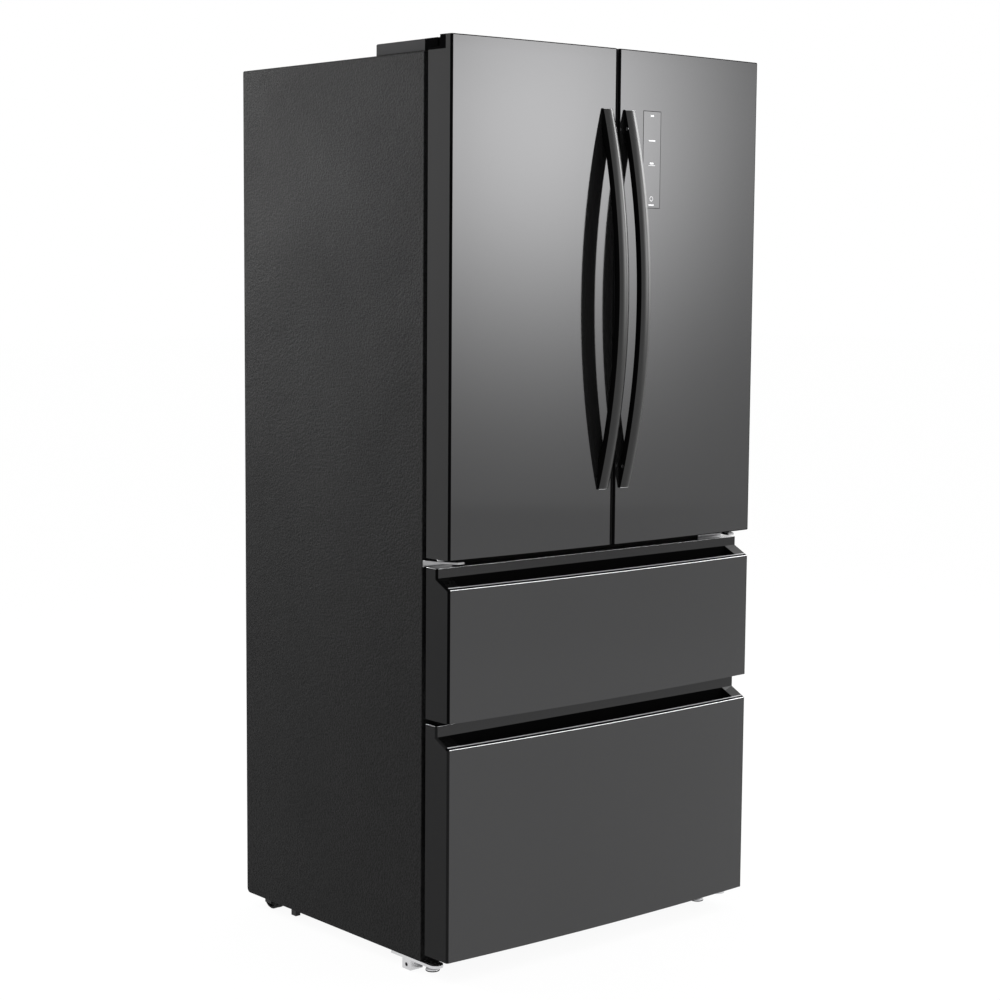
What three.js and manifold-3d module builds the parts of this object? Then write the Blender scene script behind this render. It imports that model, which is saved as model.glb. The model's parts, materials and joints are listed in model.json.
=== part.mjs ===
// A french door refrigerator: two doors over two freezer drawers, as separate pieces on real joints.
// Millimetres, +Z up, doors facing -Y. Inside this file y = 0 is the plane of the doors' outer front
// corners; the group at the end moves the whole object so that its origin is under its middle.
import * as THREE from 'three';
import { mergeVertices } from 'three/addons/utils/BufferGeometryUtils.js';
import Module from 'manifold-3d';

const wasm = await Module();
wasm.setup();

// ---- Driving dimensions ----

const overallWidth = 811;
const overallHeight = 1780;
const doorRise = 26;
const cabinetDepth = 596.5;
const floorClearance = 28;
const doorThickness = 67.5;
const gasketGap = 12.5;
const seat = 0.3;
const running = 0.5;
const over = 1;

// Fronts
const crown = 12;
const crownSteps = 16;
const edgeRadius = 4;
const edgeSteps = 4;
const centreGap = 6;
const hingeGap = 17.7;
const drawerGap = 10;
const lowerDrawerBottom = 44.5;
const lowerDrawerHeight = 452;
const upperDrawerHeight = 290.3;
const gripSetBack = 36;
const gripChamferRise = 17.3;
const lowerGripStrip = 21;
const upperGripStrip = 18;
const gripLipDepth = 9;
const gripPocketDepth = 38;
const gripEndMargin = 33;
const gripRunOut = 15;
const doorSkin = 4;
const doorWall = 2;
const doorCap = 40;

// Cabinet
const sheet = 1.4;
const frameSheet = 2;
const linerWall = 2.5;
const sideInsulation = 48;
const fridgeFloorRise = 35.5;
const fridgeCeilingDrop = 45;
const upperCeilingDrop = 31.8;
const railOverLowerDrawer = 20.5;
const railOverUpperDrawer = 25.5;
const middleRailDepth = 42;
const freezerFloorRise = 40.5;
const backInsulation = 60.5;
const stepDepth = 221.5;
const stepDrop = 27;
const stepInsulation = 37;
const machineDrop = 50;

// Hinges
const hingeInset = 20;
const hingeSetBack = 48;
const hingePinRadius = 4;
const hingePinLength = 18;
const hingePlate = 4;
const hingeNotchWidth = 56;
const hingeNotchDepth = 21;
const hingeNotchLip = 33;
const hingeArmWidth = 15;
const topKnuckleRadius = 7;
const hingeKnuckleRadius = 12;
const hingeArmLift = 3;
const hingeStep = 8;
const hingeBossRadius = 8;
const hingeFootStart = 100;
const hingeFootEnd = 235;
const hingeCoverOutset = 4.5;
const hingeCapWidth = 37;
const hingeCapStart = 60;
const hingeCoverWidth = 56;
const hingeCoverStart = 97;
const hingeCoverEnd = 245;
const hingeCoverHeight = 24;
const hingeCoverWall = 2.5;
const middleHingeReach = 70;
const middleHingeInset = 1;
const middleHingeLift = 8;
const middleHingeShoulder = 7;
const middleHingeNose = 12;
const middleHingeNoseWidth = 16;
const middleHingeNoseInset = 27.5;
const middleHingeFlange = 13;
const middleHingeFlangeSheet = 2.4;

// Handles
const handleSpacing = 58;
const handleWidth = 26;
const handleThickness = 18;
const handleStandOff = 42;
const handleEndProud = 8;
const handleTopMargin = 116;
const handleBottomMargin = 113.5;
const handleRingSteps = 288;
const handleDome = 4;
const handleDomeSteps = 10;

// Control panel
const panelLeft = 69;
const panelWidth = 49;
const panelTopMargin = 114.5;
const panelHeight = 189;
const panelThickness = 1.6;

// Gaskets
const gasketWidth = 16;
const gasketEdge = 22;
const gasketTopEdge = 45;
const gasketBottomEdge = 10;
const gasketRailGap = 2;
const gasketFrameGap = 7;

// Door inside
const dikeDepth = 62;
const dikeWidth = 14;
const dikeHingeEdge = 61;
const dikeCentreEdge = 45;
const dikeFloorGap = 16;
const dikeCeilingGap = 15;
const binDepth = 105;
const binHeight = 110;
const binRise = 194;
const binWall = 3;
const binLug = 8;

// Mullion flap on the left door
const flapAxisFromCentre = 32;
const flapAxisBehindDoor = 21.5;
const flapLength = 60;
const flapThickness = 14;
const flapPinRadius = 3;
const flapPinLength = 6;
const flapLugHeight = 8;

// Drawer slides, frames and baskets
const slideStartClearance = 2;
const slideEndClearance = 8;
const slideHeight = 40;
const slideWeb = 5;
const slideLip = 3;
const slideReach = 14.7;
const armWidth = 14;
const lowerSlideDrop = 109;
const upperSlideDrop = 35;
const crossBarDepth = 12;
const basketWall = 3;
const basketRim = 4;
const basketFrontGap = 22.5;
const lowerBasketBackGap = 15;
const upperBasketBackGap = 28;
const lowerBasketRise = 10;
const upperBasketRise = 13;

// Freezer back
const coverToBack = 64;
const coverSheet = 4;
const coverSlotHeight = 8;
const coverSlotPitch = 30;
const coverSlots = 5;
const coverSlotHalf = 250;
const fanOutletRadius = 42;
const fanSpider = 12;
const evaporatorHalfWidth = 250;
const evaporatorFrontGap = 6;
const evaporatorBackGap = 4;
const evaporatorDrop = 155;
const evaporatorFins = 13;
const fanRadius = 52;
const fanHubRadius = 18;
const fanDepth = 20;
const fanBlades = 5;
const fanBladeThickness = 3;
const fanBladeChord = 24;
const fanBladePitch = 45;
const fanShaftRadius = 3;
const fanGap = 4;
const coilTubeRadius = 4;
const coilFin = 2;
const coilTubes = 3;
const evaporatorFanDrop = 77;

// Fridge inside
const ductHalfWidth = 100;
const ductDepth = 26;
const ductFloorGap = 30;
const ductCeilingGap = 19;
const ductWall = 3;
const ductSlots = 5;
const ductSlotHeight = 12;
const ductSlotHalf = 60;
const shelfThickness = 5;
const shelfFront = 205;
const shelfTrim = 8;
const shelfTrimHeight = 16;
const shelfLedge = 9;
const shelfSideGap = 2;
const shelfRises = { shelf_upper: 600, shelf_lower: 380, crisper_cover: 180 };
const crisperTopGap = 11;
const crisperFront = 190;
const crisperWall = 3;
const crisperGap = 8;
const crisperSideGap = 2;
const crisperBackGap = 4;
const crisperPullInset = 60;
const crisperPullDepth = 14;
const crisperPullDrop = 24;
const crisperPullThickness = 4;

// Machine compartment
const compressorInset = 235.5;
const compressorToBack = 91.5;
const compressorRadius = 78;
const compressorHeight = 150;
const compressorFoot = 8;
const condenserLength = 250;
const condenserRollerGap = 24.1;
const condenserDepth = 80;
const condenserToBack = 51.5;
const condenserDrop = 50;
const condenserFins = 9;
const drainPanHeight = 28;
const drainPanWall = 2;
const condenserFanDrop = 120;
const grilleSlots = 9;
const grilleSlotHeight = 6;
const grilleSlotPitch = 16;
const grilleHalfWidth = 150;
const inletInset = 45.5;
const inletDrop = 60;
const inletWidth = 30;
const inletHeight = 24;
const inletDepth = 34;
const inletRecess = 16;
const inletWall = 3;
const inletBlades = [-7, 0, 7];
const inletBladeThickness = 2;
const inletBladeHeight = 8;
const inletBladeInset = 2;

// Feet and rollers
const toeLip = 12;
const toeLipInset = 5;
const bracketWidth = 50;
const bracketThickness = 5.7;
const bracketNose = 54;
const bracketNoseWidth = 30;
const bracketShoulder = 62;
const bracketShoulderEnd = 82;
const bracketEnd = 175;
const bracketInset = 1;
const skidStart = 113;
const skidLength = 26;
const skidWidth = 31;
const skidLift = 1.5;
const skidHole = 4;
const footInset = 39.5;
const footSetBack = 92;
const footRadius = 14;
const footDisc = 5;
const footStemRadius = 5;
const rollerInset = 33;
const rollerToBack = 56.5;
const rollerRadius = 25;
const rollerWidth = 24;
const rollerAxle = 4;
const rollerEar = 4;
const rollerEarReach = 11;
const rollerSideGap = 2.4;
const rollerWellMargin = 5;
const rearSkidToBack = 140.5;
const rearSkidLength = 16;
const rearSkidWidth = 12;
const rearSkidLift = 2;

// ---- Sizes worked out from the driving ones ----

const halfWidth = overallWidth / 2;
const cabinetTop = overallHeight - doorRise;
const doorBack = doorThickness;
const cabinetFront = doorThickness + gasketGap;
const cabinetBack = cabinetFront + cabinetDepth;
const lowerDrawerTop = lowerDrawerBottom + lowerDrawerHeight;
const upperDrawerBottom = lowerDrawerTop + drawerGap;
const upperDrawerTop = upperDrawerBottom + upperDrawerHeight;
const doorBottom = upperDrawerTop + hingeGap;
const hingeX = halfWidth - hingeInset;
const fridgeFloor = doorBottom + fridgeFloorRise;
const fridgeCeiling = cabinetTop - fridgeCeilingDrop;
const upperDrawerCeiling = upperDrawerTop - upperCeilingDrop;
const middleRailBottom = lowerDrawerTop - railOverLowerDrawer;
const middleRailTop = upperDrawerBottom + railOverUpperDrawer;
const freezerFloor = lowerDrawerBottom + freezerFloorRise;
const upperSlideBottom = upperDrawerCeiling - upperSlideDrop - slideHeight;
const lowerSlideBottom = middleRailBottom - lowerSlideDrop - slideHeight;
const stepTop = lowerSlideBottom - stepDrop;
const stepBack = cabinetBack - stepDepth;
const compartmentBack = cabinetBack - backInsulation;
const coverBack = compartmentBack - coverToBack;
const machineFront = stepBack + stepInsulation;
const rollerSetBack = cabinetBack - rollerToBack;
const rearSkidSetBack = cabinetBack - rearSkidToBack;
const compressorY = cabinetBack - compressorToBack;
const condenserBack = cabinetBack - condenserToBack;
const condenserFront = condenserBack - condenserDepth;
const machineTop = stepTop - machineDrop;
const linerInside = halfWidth - sideInsulation;
const wallInside = halfWidth - sheet - seat;
const frameBack = cabinetFront + frameSheet;
const notchFloor = overallHeight - hingeNotchDepth;
const handleProud = handleStandOff + handleThickness;
const deckTop = floorClearance + frameSheet;
const coverFront = coverBack - coverSheet;
const slideStart = frameBack + slideStartClearance;
const slideEnd = coverFront - slideEndClearance;
const dikeBottom = fridgeFloor + dikeFloorGap;
const dikeTop = fridgeCeiling - dikeCeilingGap;
const binBottom = dikeBottom + binRise;
const rollerX = halfWidth - rollerInset;
const earInside = rollerWidth / 2 + rollerSideGap;
const inletX = halfWidth - inletInset;
const inletZ = machineTop - inletDrop;

// ---- Shaping helpers ----

function solidOf(geometry) {
  geometry.deleteAttribute('normal');
  geometry.deleteAttribute('uv');
  const welded = mergeVertices(geometry, 1e-4);
  const vertProperties = welded.attributes.position.array;
  const triVerts = Uint32Array.from(welded.index.array);
  return new wasm.Manifold(new wasm.Mesh({ numProp: 3, vertProperties, triVerts }));
}

function geometryOf(solid) {
  const { vertProperties, triVerts } = solid.getMesh();
  const geometry = new THREE.BufferGeometry();
  geometry.setAttribute('position', new THREE.BufferAttribute(vertProperties, 3));
  geometry.setIndex(new THREE.BufferAttribute(triVerts, 1));
  geometry.computeVertexNormals();
  return geometry;
}

function block(x0, x1, y0, y1, z0, z1) {
  const geometry = new THREE.BoxGeometry(x1 - x0, y1 - y0, z1 - z0);
  geometry.translate((x0 + x1) / 2, (y0 + y1) / 2, (z0 + z1) / 2);
  return solidOf(geometry);
}

function shapeOf(points) {
  return new THREE.Shape(points.map(([u, v]) => new THREE.Vector2(u, v)));
}

function extrude(points, depth) {
  return new THREE.ExtrudeGeometry(shapeOf(points), { depth, bevelEnabled: false });
}

// Outline in (x, y), raised from z0 to z1.
function prismZ(points, z0, z1) {
  const geometry = extrude(points, z1 - z0);
  geometry.translate(0, 0, z0);
  return solidOf(geometry);
}

// Outline in (y, z), drawn out from x0 to x1.
function prismX(points, x0, x1) {
  const geometry = extrude(points, x1 - x0);
  geometry.rotateY(Math.PI / 2);
  geometry.rotateX(Math.PI / 2);
  geometry.translate(x0, 0, 0);
  return solidOf(geometry);
}

function rodZ(radius, x, y, z0, z1, sides = 24) {
  const geometry = new THREE.CylinderGeometry(radius, radius, z1 - z0, sides);
  geometry.rotateX(Math.PI / 2);
  geometry.translate(x, y, (z0 + z1) / 2);
  return solidOf(geometry);
}

function rodX(radius, x0, x1, y, z, sides = 24) {
  const geometry = new THREE.CylinderGeometry(radius, radius, x1 - x0, sides);
  geometry.rotateZ(Math.PI / 2);
  geometry.translate((x0 + x1) / 2, y, z);
  return solidOf(geometry);
}

function rodY(radius, x, y0, y1, z, sides = 24) {
  const geometry = new THREE.CylinderGeometry(radius, radius, y1 - y0, sides);
  geometry.translate(x, (y0 + y1) / 2, z);
  return solidOf(geometry);
}

function arc(x, y, radius, startDegrees, endDegrees, steps) {
  return Array.from({ length: steps + 1 }, (_, i) => {
    const angle = THREE.MathUtils.degToRad(startDegrees + ((endDegrees - startDegrees) * i) / steps);
    return [x + radius * Math.cos(angle), y + radius * Math.sin(angle)];
  });
}

// A stretch given by its distances from the middle plane, on the left (-1) or right (1) side.
function across(side, near, far) {
  return side < 0 ? [-far, -near] : [near, far];
}

function join(first, ...others) {
  return others.reduce((whole, part) => whole.add(part), first);
}

function cut(first, ...others) {
  return others.reduce((rest, part) => rest.subtract(part), first);
}

// ---- Materials ----

function finish(color, roughness, metalness) {
  return new THREE.MeshStandardMaterial({ color, roughness, metalness });
}

const finishes = {
  paintedSteel: finish(0x3a3a3c, 0.55, 0.2),
  blackSteel: finish(0x4b4c4f, 0.18, 0.75),
  blackTrim: finish(0x0c0c0d, 0.25, 0.1),
  darkPlastic: finish(0x1b1b1c, 0.5, 0),
  plainSteel: finish(0xb9bbbd, 0.35, 0.9),
  foam: finish(0xe6d9a8, 0.9, 0),
  whiteLiner: finish(0xf0f1f2, 0.35, 0),
  gasketRubber: finish(0x161617, 0.7, 0),
  clearPlastic: finish(0xdfe8ec, 0.1, 0),
  shelfGlass: finish(0xcfe0e0, 0.05, 0),
  aluminium: finish(0xc4c7ca, 0.4, 0.9),
  wheelPlastic: finish(0x2a2a2b, 0.6, 0),
};

const refrigerator = new THREE.Group();

function addPiece(name, solid, material) {
  const mesh = new THREE.Mesh(geometryOf(solid), material.clone());
  mesh.name = name;
  refrigerator.add(mesh);
}

const sides = [
  { side: -1, hand: 'left' },
  { side: 1, hand: 'right' },
];

// ---- Crowned fronts ----

function frontAt(x) {
  return -crown * (1 - (x / halfWidth) ** 2);
}

// Plan outline from x0 to x1 whose front follows the crown, moved back by inset.
function crownedOutline(x0, x1, inset, back) {
  const left = frontAt(x0) + inset + edgeRadius;
  const right = frontAt(x1) + inset + edgeRadius;
  const start = x0 + edgeRadius;
  const span = x1 - x0 - 2 * edgeRadius;
  const front = Array.from({ length: crownSteps - 1 }, (_, i) => {
    const x = start + (span * (i + 1)) / crownSteps;
    return [x, frontAt(x) + inset];
  });
  return [
    [x0, back],
    ...arc(start, left, edgeRadius, 180, 270, edgeSteps),
    ...front,
    ...arc(x1 - edgeRadius, right, edgeRadius, 270, 360, edgeSteps),
    [x1, back],
  ];
}

// ---- Cabinet ----

// A flat ring between two planes of y, its outer edge at [x0, x1, z0, z1].
function ringPlate([x0, x1, z0, z1], width, y0, y1) {
  return cut(
    block(x0, x1, y0, y1, z0, z1),
    block(x0 + width, x1 - width, y0 - over, y1 + over, z0 + width, z1 - width),
  );
}

// One sheet bent over the top and down both sides, and the back panel between its flanks.
function makeSheets() {
  const inside = halfWidth - sheet;
  const wrap = cut(
    block(-halfWidth, halfWidth, cabinetFront, cabinetBack, floorClearance, cabinetTop),
    block(
      -inside, inside, cabinetFront - over, cabinetBack + over, floorClearance - over, cabinetTop - sheet,
    ),
  );
  addPiece('outer_wrap', wrap, finishes.paintedSteel);
  const backFace = [cabinetBack - sheet, cabinetBack];
  const back = block(-wallInside, wallInside, ...backFace, machineTop + seat, cabinetTop - sheet - seat);
  addPiece('back_panel', back, finishes.plainSteel);
}

function makeFrontFrame() {
  const top = cabinetTop - sheet - seat;
  const plate = block(-wallInside, wallInside, cabinetFront, frameBack, deckTop + seat, top);
  const windows = [
    [freezerFloor, middleRailBottom],
    [middleRailTop, upperDrawerCeiling],
    [fridgeFloor, fridgeCeiling],
  ].map(([z0, z1]) => block(-linerInside, linerInside, cabinetFront - over, frameBack + over, z0, z1));
  const railBar = [middleRailBottom + frameSheet, middleRailTop - frameSheet];
  const railHalf = linerInside - seat;
  const rail = block(
    -railHalf, railHalf, frameBack - over, cabinetFront + middleRailDepth, ...railBar,
  );
  addPiece('front_frame', join(cut(plate, ...windows), rail), finishes.paintedSteel);
}

// Side section of the freezer compartment, grown by a margin on every wall.
function freezerSection(front, margin) {
  return [
    [front, freezerFloor - margin],
    [stepBack + margin, freezerFloor - margin],
    [stepBack + margin, stepTop - margin],
    [compartmentBack + margin, stepTop - margin],
    [compartmentBack + margin, upperDrawerCeiling + margin],
    [front, upperDrawerCeiling + margin],
  ];
}

function fridgeBlock(front, margin) {
  const half = linerInside + margin;
  const back = compartmentBack + margin;
  return block(-half, half, front, back, fridgeFloor - margin, fridgeCeiling + margin);
}

function makeInsulation() {
  const half = wallInside - seat;
  const back = cabinetBack - sheet - seat;
  const top = cabinetTop - sheet - 2 * seat;
  const whole = block(-half, half, frameBack + seat, back, deckTop + seat, top);
  const margin = linerWall + seat;
  const freezer = prismX(freezerSection(cabinetFront, margin), -linerInside - margin, linerInside + margin);
  const machine = block(-halfWidth, halfWidth, machineFront, cabinetBack, floorClearance, machineTop);
  addPiece('insulation', cut(whole, fridgeBlock(cabinetFront, margin), freezer, machine), finishes.foam);
}

function makeFridgeLiner() {
  const shell = cut(fridgeBlock(frameBack + seat, linerWall), fridgeBlock(cabinetFront, 0));
  const ledges = Object.values(shelfRises).flatMap((rise) => sides.map(({ side }) => {
    const [x0, x1] = across(side, linerInside - shelfLedge, linerInside + over);
    const top = fridgeFloor + rise - seat;
    return block(x0, x1, shelfFront, compartmentBack - ductDepth, top - shelfLedge, top);
  }));
  addPiece('fridge_liner', join(shell, ...ledges), finishes.whiteLiner);
}

function makeFreezerLiner() {
  const outerHalf = linerInside + linerWall;
  const outer = prismX(freezerSection(frameBack + seat, linerWall), -outerHalf, outerHalf);
  const inner = prismX(freezerSection(cabinetFront, 0), -linerInside, linerInside);
  addPiece('freezer_liner', cut(outer, inner), finishes.whiteLiner);
}

function makeBasePan() {
  const front = frameBack + seat;
  const back = cabinetBack - sheet - seat;
  let pan = block(-wallInside, wallInside, cabinetFront, back, floorClearance, deckTop);
  for (const { side } of sides) {
    const well = across(side, rollerX - earInside, rollerX + earInside);
    const reach = rollerRadius + rollerWellMargin;
    pan = cut(pan, block(...well, rollerSetBack - reach, rollerSetBack + reach, 0, deckTop + over));
    for (const near of [rollerX - earInside - rollerEar, rollerX + earInside]) {
      const [x0, x1] = across(side, near, near + rollerEar);
      const earFace = [rollerSetBack - rollerEarReach, rollerSetBack + rollerEarReach];
      pan = join(pan, block(x0, x1, ...earFace, rollerRadius - rollerEarReach, deckTop));
    }
    const axleSpan = across(side, rollerX - earInside - over, rollerX + earInside + over);
    pan = join(pan, rodX(rollerAxle, ...axleSpan, rollerSetBack, rollerRadius));
    const skidSpan = across(side, rollerX - rearSkidWidth / 2, rollerX + rearSkidWidth / 2);
    const skidFace = [rearSkidSetBack, rearSkidSetBack + rearSkidLength];
    pan = join(pan, block(...skidSpan, ...skidFace, rearSkidLift, floorClearance + over));
  }
  const lipHalf = halfWidth - bracketWidth - toeLipInset;
  const lip = block(-lipHalf, lipHalf, cabinetFront, front, floorClearance - toeLip, floorClearance + over);
  addPiece('base_pan', join(pan, lip), finishes.darkPlastic);
}

// ---- Feet and rollers ----

function makeFeet() {
  const bracketTop = floorClearance - seat;
  const bracketBottom = bracketTop - bracketThickness;
  const footX = halfWidth - footInset;
  for (const { side, hand } of sides) {
    const outer = halfWidth - bracketInset;
    const outline = [
      [outer - bracketWidth, bracketEnd],
      [outer, bracketEnd],
      ...arc(outer - bracketNoseWidth / 2, bracketNose, bracketNoseWidth / 2, 0, -180, 12),
      [outer - bracketNoseWidth, bracketShoulder],
      [outer - bracketWidth, bracketShoulderEnd],
    ].map(([u, v]) => [side * u, v]);
    const [a0, a1] = across(side, outer - skidWidth, outer);
    const skid = block(a0, a1, skidStart, skidStart + skidLength, skidLift, bracketTop - over);
    const skidMiddle = skidStart + skidLength / 2;
    const hole = rodX(skidHole, a0 - over, a1 + over, skidMiddle, bracketBottom / 2, 12);
    const stemHole = rodZ(footStemRadius + seat, side * footX, footSetBack, 0, floorClearance);
    const plate = prismZ(outline, bracketBottom, bracketTop);
    addPiece(`foot_bracket_${hand}`, cut(join(plate, skid), hole, stemHole), finishes.plainSteel);

    const disc = rodZ(footRadius, side * footX, footSetBack, 0, footDisc);
    const stem = rodZ(footStemRadius, side * footX, footSetBack, footDisc - over, bracketTop);
    addPiece(`levelling_foot_${hand}`, join(disc, stem), finishes.darkPlastic);
  }
}

function makeRollers() {
  for (const { side, hand } of sides) {
    const [x0, x1] = across(side, rollerX - rollerWidth / 2, rollerX + rollerWidth / 2);
    const tyre = rodX(rollerRadius, x0, x1, rollerSetBack, rollerRadius, 32);
    const bore = rodX(rollerAxle + seat, x0 - over, x1 + over, rollerSetBack, rollerRadius);
    addPiece(`rear_roller_${hand}`, cut(tyre, bore), finishes.wheelPlastic);
  }
}

// ---- Machine compartment ----

function fanAlongX(x0, y, z) {
  const hub = rodX(fanHubRadius, x0, x0 + fanDepth, y, z);
  const bladeRoot = fanHubRadius - fanBladeThickness;
  const blades = Array.from({ length: fanBlades }, (_, i) => {
    const geometry = new THREE.BoxGeometry(fanBladeChord, fanBladeThickness, fanRadius - bladeRoot);
    geometry.translate(0, 0, (fanRadius + bladeRoot) / 2);
    geometry.rotateZ(THREE.MathUtils.degToRad(fanBladePitch));
    geometry.rotateX((2 * Math.PI * i) / fanBlades);
    geometry.translate(x0 + fanDepth / 2, y, z);
    return solidOf(geometry);
  });
  const bore = rodX(fanShaftRadius + seat, x0 - over, x0 + fanDepth + over, y, z, 12);
  return cut(join(hub, ...blades), bore);
}

// Fins between two planes of x, threaded on level tubes.
function finnedCoil([x0, x1], [y0, y1], [z0, z1], finCount) {
  const pitch = (x1 - x0 - coilFin) / (finCount - 1);
  const fins = Array.from({ length: finCount }, (_, i) => {
    const x = x0 + pitch * i;
    return block(x, x + coilFin, y0, y1, z0, z1);
  });
  const tubes = Array.from({ length: coilTubes }, (_, i) => {
    const z = z0 + ((z1 - z0) * (i + 1)) / (coilTubes + 1);
    return rodX(coilTubeRadius, x0, x1, (y0 + y1) / 2, z, 10);
  });
  return join(fins[0], ...fins.slice(1), ...tubes);
}

function makeMachine() {
  const deck = deckTop + seat;
  const compressorX = compressorInset - halfWidth;
  const condenserEnd = rollerX - earInside - rollerEar - condenserRollerGap;
  const condenserStart = condenserEnd - condenserLength;
  const condenserTop = machineTop - condenserDrop;
  const condenserFanZ = machineTop - condenserFanDrop;
  const foot = block(
    compressorX - compressorRadius, compressorX + compressorRadius,
    compressorY - compressorRadius, compressorY + compressorRadius, deck, deck + compressorFoot,
  );
  const dome = new THREE.LatheGeometry([
    [0, 0],
    [compressorRadius * 0.8, 0],
    [compressorRadius, compressorHeight * 0.12],
    [compressorRadius, compressorHeight * 0.7],
    [compressorRadius * 0.86, compressorHeight * 0.88],
    [compressorRadius * 0.5, compressorHeight * 0.98],
    [0, compressorHeight],
  ].map(([u, v]) => new THREE.Vector2(u, v)), 28);
  dome.rotateX(Math.PI / 2);
  dome.translate(compressorX, compressorY, deck + compressorFoot - over);
  addPiece('compressor', join(foot, solidOf(dome)), finishes.darkPlastic);

  const panTop = deck + drainPanHeight;
  const face = [condenserFront, condenserBack];
  const pan = cut(
    block(condenserStart, condenserEnd, ...face, deck, panTop),
    block(
      condenserStart + drainPanWall, condenserEnd - drainPanWall,
      condenserFront + drainPanWall, condenserBack - drainPanWall, deck + drainPanWall, panTop + over,
    ),
  );
  addPiece('drain_pan', pan, finishes.darkPlastic);

  const middle = (condenserFront + condenserBack) / 2;
  const coil = finnedCoil([condenserStart, condenserEnd], face, [panTop + seat, condenserTop], condenserFins);
  const fanStart = condenserStart - fanDepth - fanGap;
  const shaft = rodX(
    fanShaftRadius, fanStart - over, condenserStart + over, middle, condenserFanZ, 12,
  );
  addPiece('condenser', join(coil, shaft), finishes.aluminium);
  addPiece('condenser_fan', fanAlongX(fanStart, middle, condenserFanZ), finishes.darkPlastic);
}

function makeMachineCover() {
  const face = [cabinetBack - sheet, cabinetBack];
  let cover = block(-wallInside, wallInside, ...face, deckTop + seat, machineTop - seat);
  const slotFace = [cabinetBack - sheet - over, cabinetBack + over];
  const grilleBottom = (deckTop + machineTop - grilleSlotPitch * grilleSlots) / 2;
  for (let i = 0; i < grilleSlots; i += 1) {
    const z = grilleBottom + grilleSlotPitch * i;
    cover = cut(cover, block(-grilleHalfWidth, grilleHalfWidth, ...slotFace, z, z + grilleSlotHeight));
  }
  const opening = inletBlock(seat, ...slotFace);
  addPiece('machine_cover', cut(cover, opening), finishes.plainSteel);

  const floor = cabinetBack - inletRecess;
  const body = cut(
    inletBlock(0, cabinetBack - inletDepth, cabinetBack), inletBlock(-inletWall, floor, cabinetBack + over),
  );
  const blades = inletBlades.map((offset) => block(
    inletX + offset - inletBladeThickness / 2, inletX + offset + inletBladeThickness / 2,
    floor - over, cabinetBack - inletBladeInset,
    inletZ - inletBladeHeight / 2, inletZ + inletBladeHeight / 2,
  ));
  addPiece('power_inlet', join(body, ...blades), finishes.darkPlastic);
}

// The inlet's outline grown by a margin, between two planes of y.
function inletBlock(margin, y0, y1) {
  const wide = inletWidth / 2 + margin;
  const high = inletHeight / 2 + margin;
  return block(inletX - wide, inletX + wide, y0, y1, inletZ - high, inletZ + high);
}

// ---- Freezer back ----

function makeFreezerBack() {
  const half = linerInside - seat;
  const front = coverFront;
  const low = stepTop + seat;
  const through = [front - over, coverBack + over];
  const evaporatorFanHeight = upperDrawerCeiling - evaporatorFanDrop;
  let cover = block(-half, half, front, coverBack, low, upperDrawerCeiling - seat);
  for (let i = 0; i < coverSlots; i += 1) {
    const z = stepTop + coverSlotPitch * (i + 1);
    cover = cut(cover, block(-coverSlotHalf, coverSlotHalf, ...through, z, z + coverSlotHeight));
  }
  const fanStart = coverBack + fanGap;
  const shaftEnd = fanStart + fanDepth + over;
  const shaft = rodY(fanShaftRadius, 0, coverBack - over, shaftEnd, evaporatorFanHeight, 12);
  const outlet = rodY(fanOutletRadius, 0, ...through, evaporatorFanHeight, 28);
  const spider = block(
    -fanRadius, fanRadius, front, coverBack,
    evaporatorFanHeight - fanSpider / 2, evaporatorFanHeight + fanSpider / 2,
  );
  addPiece('evaporator_cover', join(cut(cover, outlet), spider, shaft), finishes.whiteLiner);

  const coil = finnedCoil(
    [-evaporatorHalfWidth, evaporatorHalfWidth],
    [coverBack + evaporatorFrontGap, compartmentBack - evaporatorBackGap],
    [low, upperDrawerCeiling - evaporatorDrop], evaporatorFins,
  );
  addPiece('evaporator', coil, finishes.aluminium);

  const geometry = geometryOf(fanAlongX(0, 0, 0));
  geometry.rotateZ(Math.PI / 2);
  geometry.translate(0, fanStart, evaporatorFanHeight);
  addPiece('evaporator_fan', solidOf(geometry), finishes.darkPlastic);
}

// ---- Fridge inside ----

function makeAirDuct() {
  const back = compartmentBack - seat;
  const front = compartmentBack - ductDepth;
  const ductBottom = fridgeFloor + ductFloorGap;
  const ductTop = fridgeCeiling - ductCeilingGap;
  const inner = ductHalfWidth - ductWall;
  let duct = cut(
    block(-ductHalfWidth, ductHalfWidth, front, back, ductBottom, ductTop),
    block(-inner, inner, front + ductWall, back + over, ductBottom + ductWall, ductTop - ductWall),
  );
  const slotPitch = (ductTop - ductBottom) / (ductSlots + 1);
  for (let i = 1; i <= ductSlots; i += 1) {
    const z = ductBottom + slotPitch * i;
    const face = [front - over, front + ductWall + over];
    duct = cut(duct, block(-ductSlotHalf, ductSlotHalf, ...face, z, z + ductSlotHeight));
  }
  addPiece('air_duct', duct, finishes.whiteLiner);
}

function makeShelves() {
  const back = compartmentBack - ductDepth - shelfSideGap;
  const half = linerInside - shelfSideGap;
  const trimHalf = half - shelfLedge;
  for (const [name, rise] of Object.entries(shelfRises)) {
    const bottom = fridgeFloor + rise;
    const top = bottom + shelfThickness;
    const pane = block(-half, half, shelfFront, back, bottom, top);
    const trimFace = [shelfFront - shelfTrim, shelfFront + over];
    const trim = block(-trimHalf, trimHalf, ...trimFace, top - shelfTrimHeight, top);
    addPiece(name, join(pane, trim), finishes.shelfGlass);
  }
}

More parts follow.
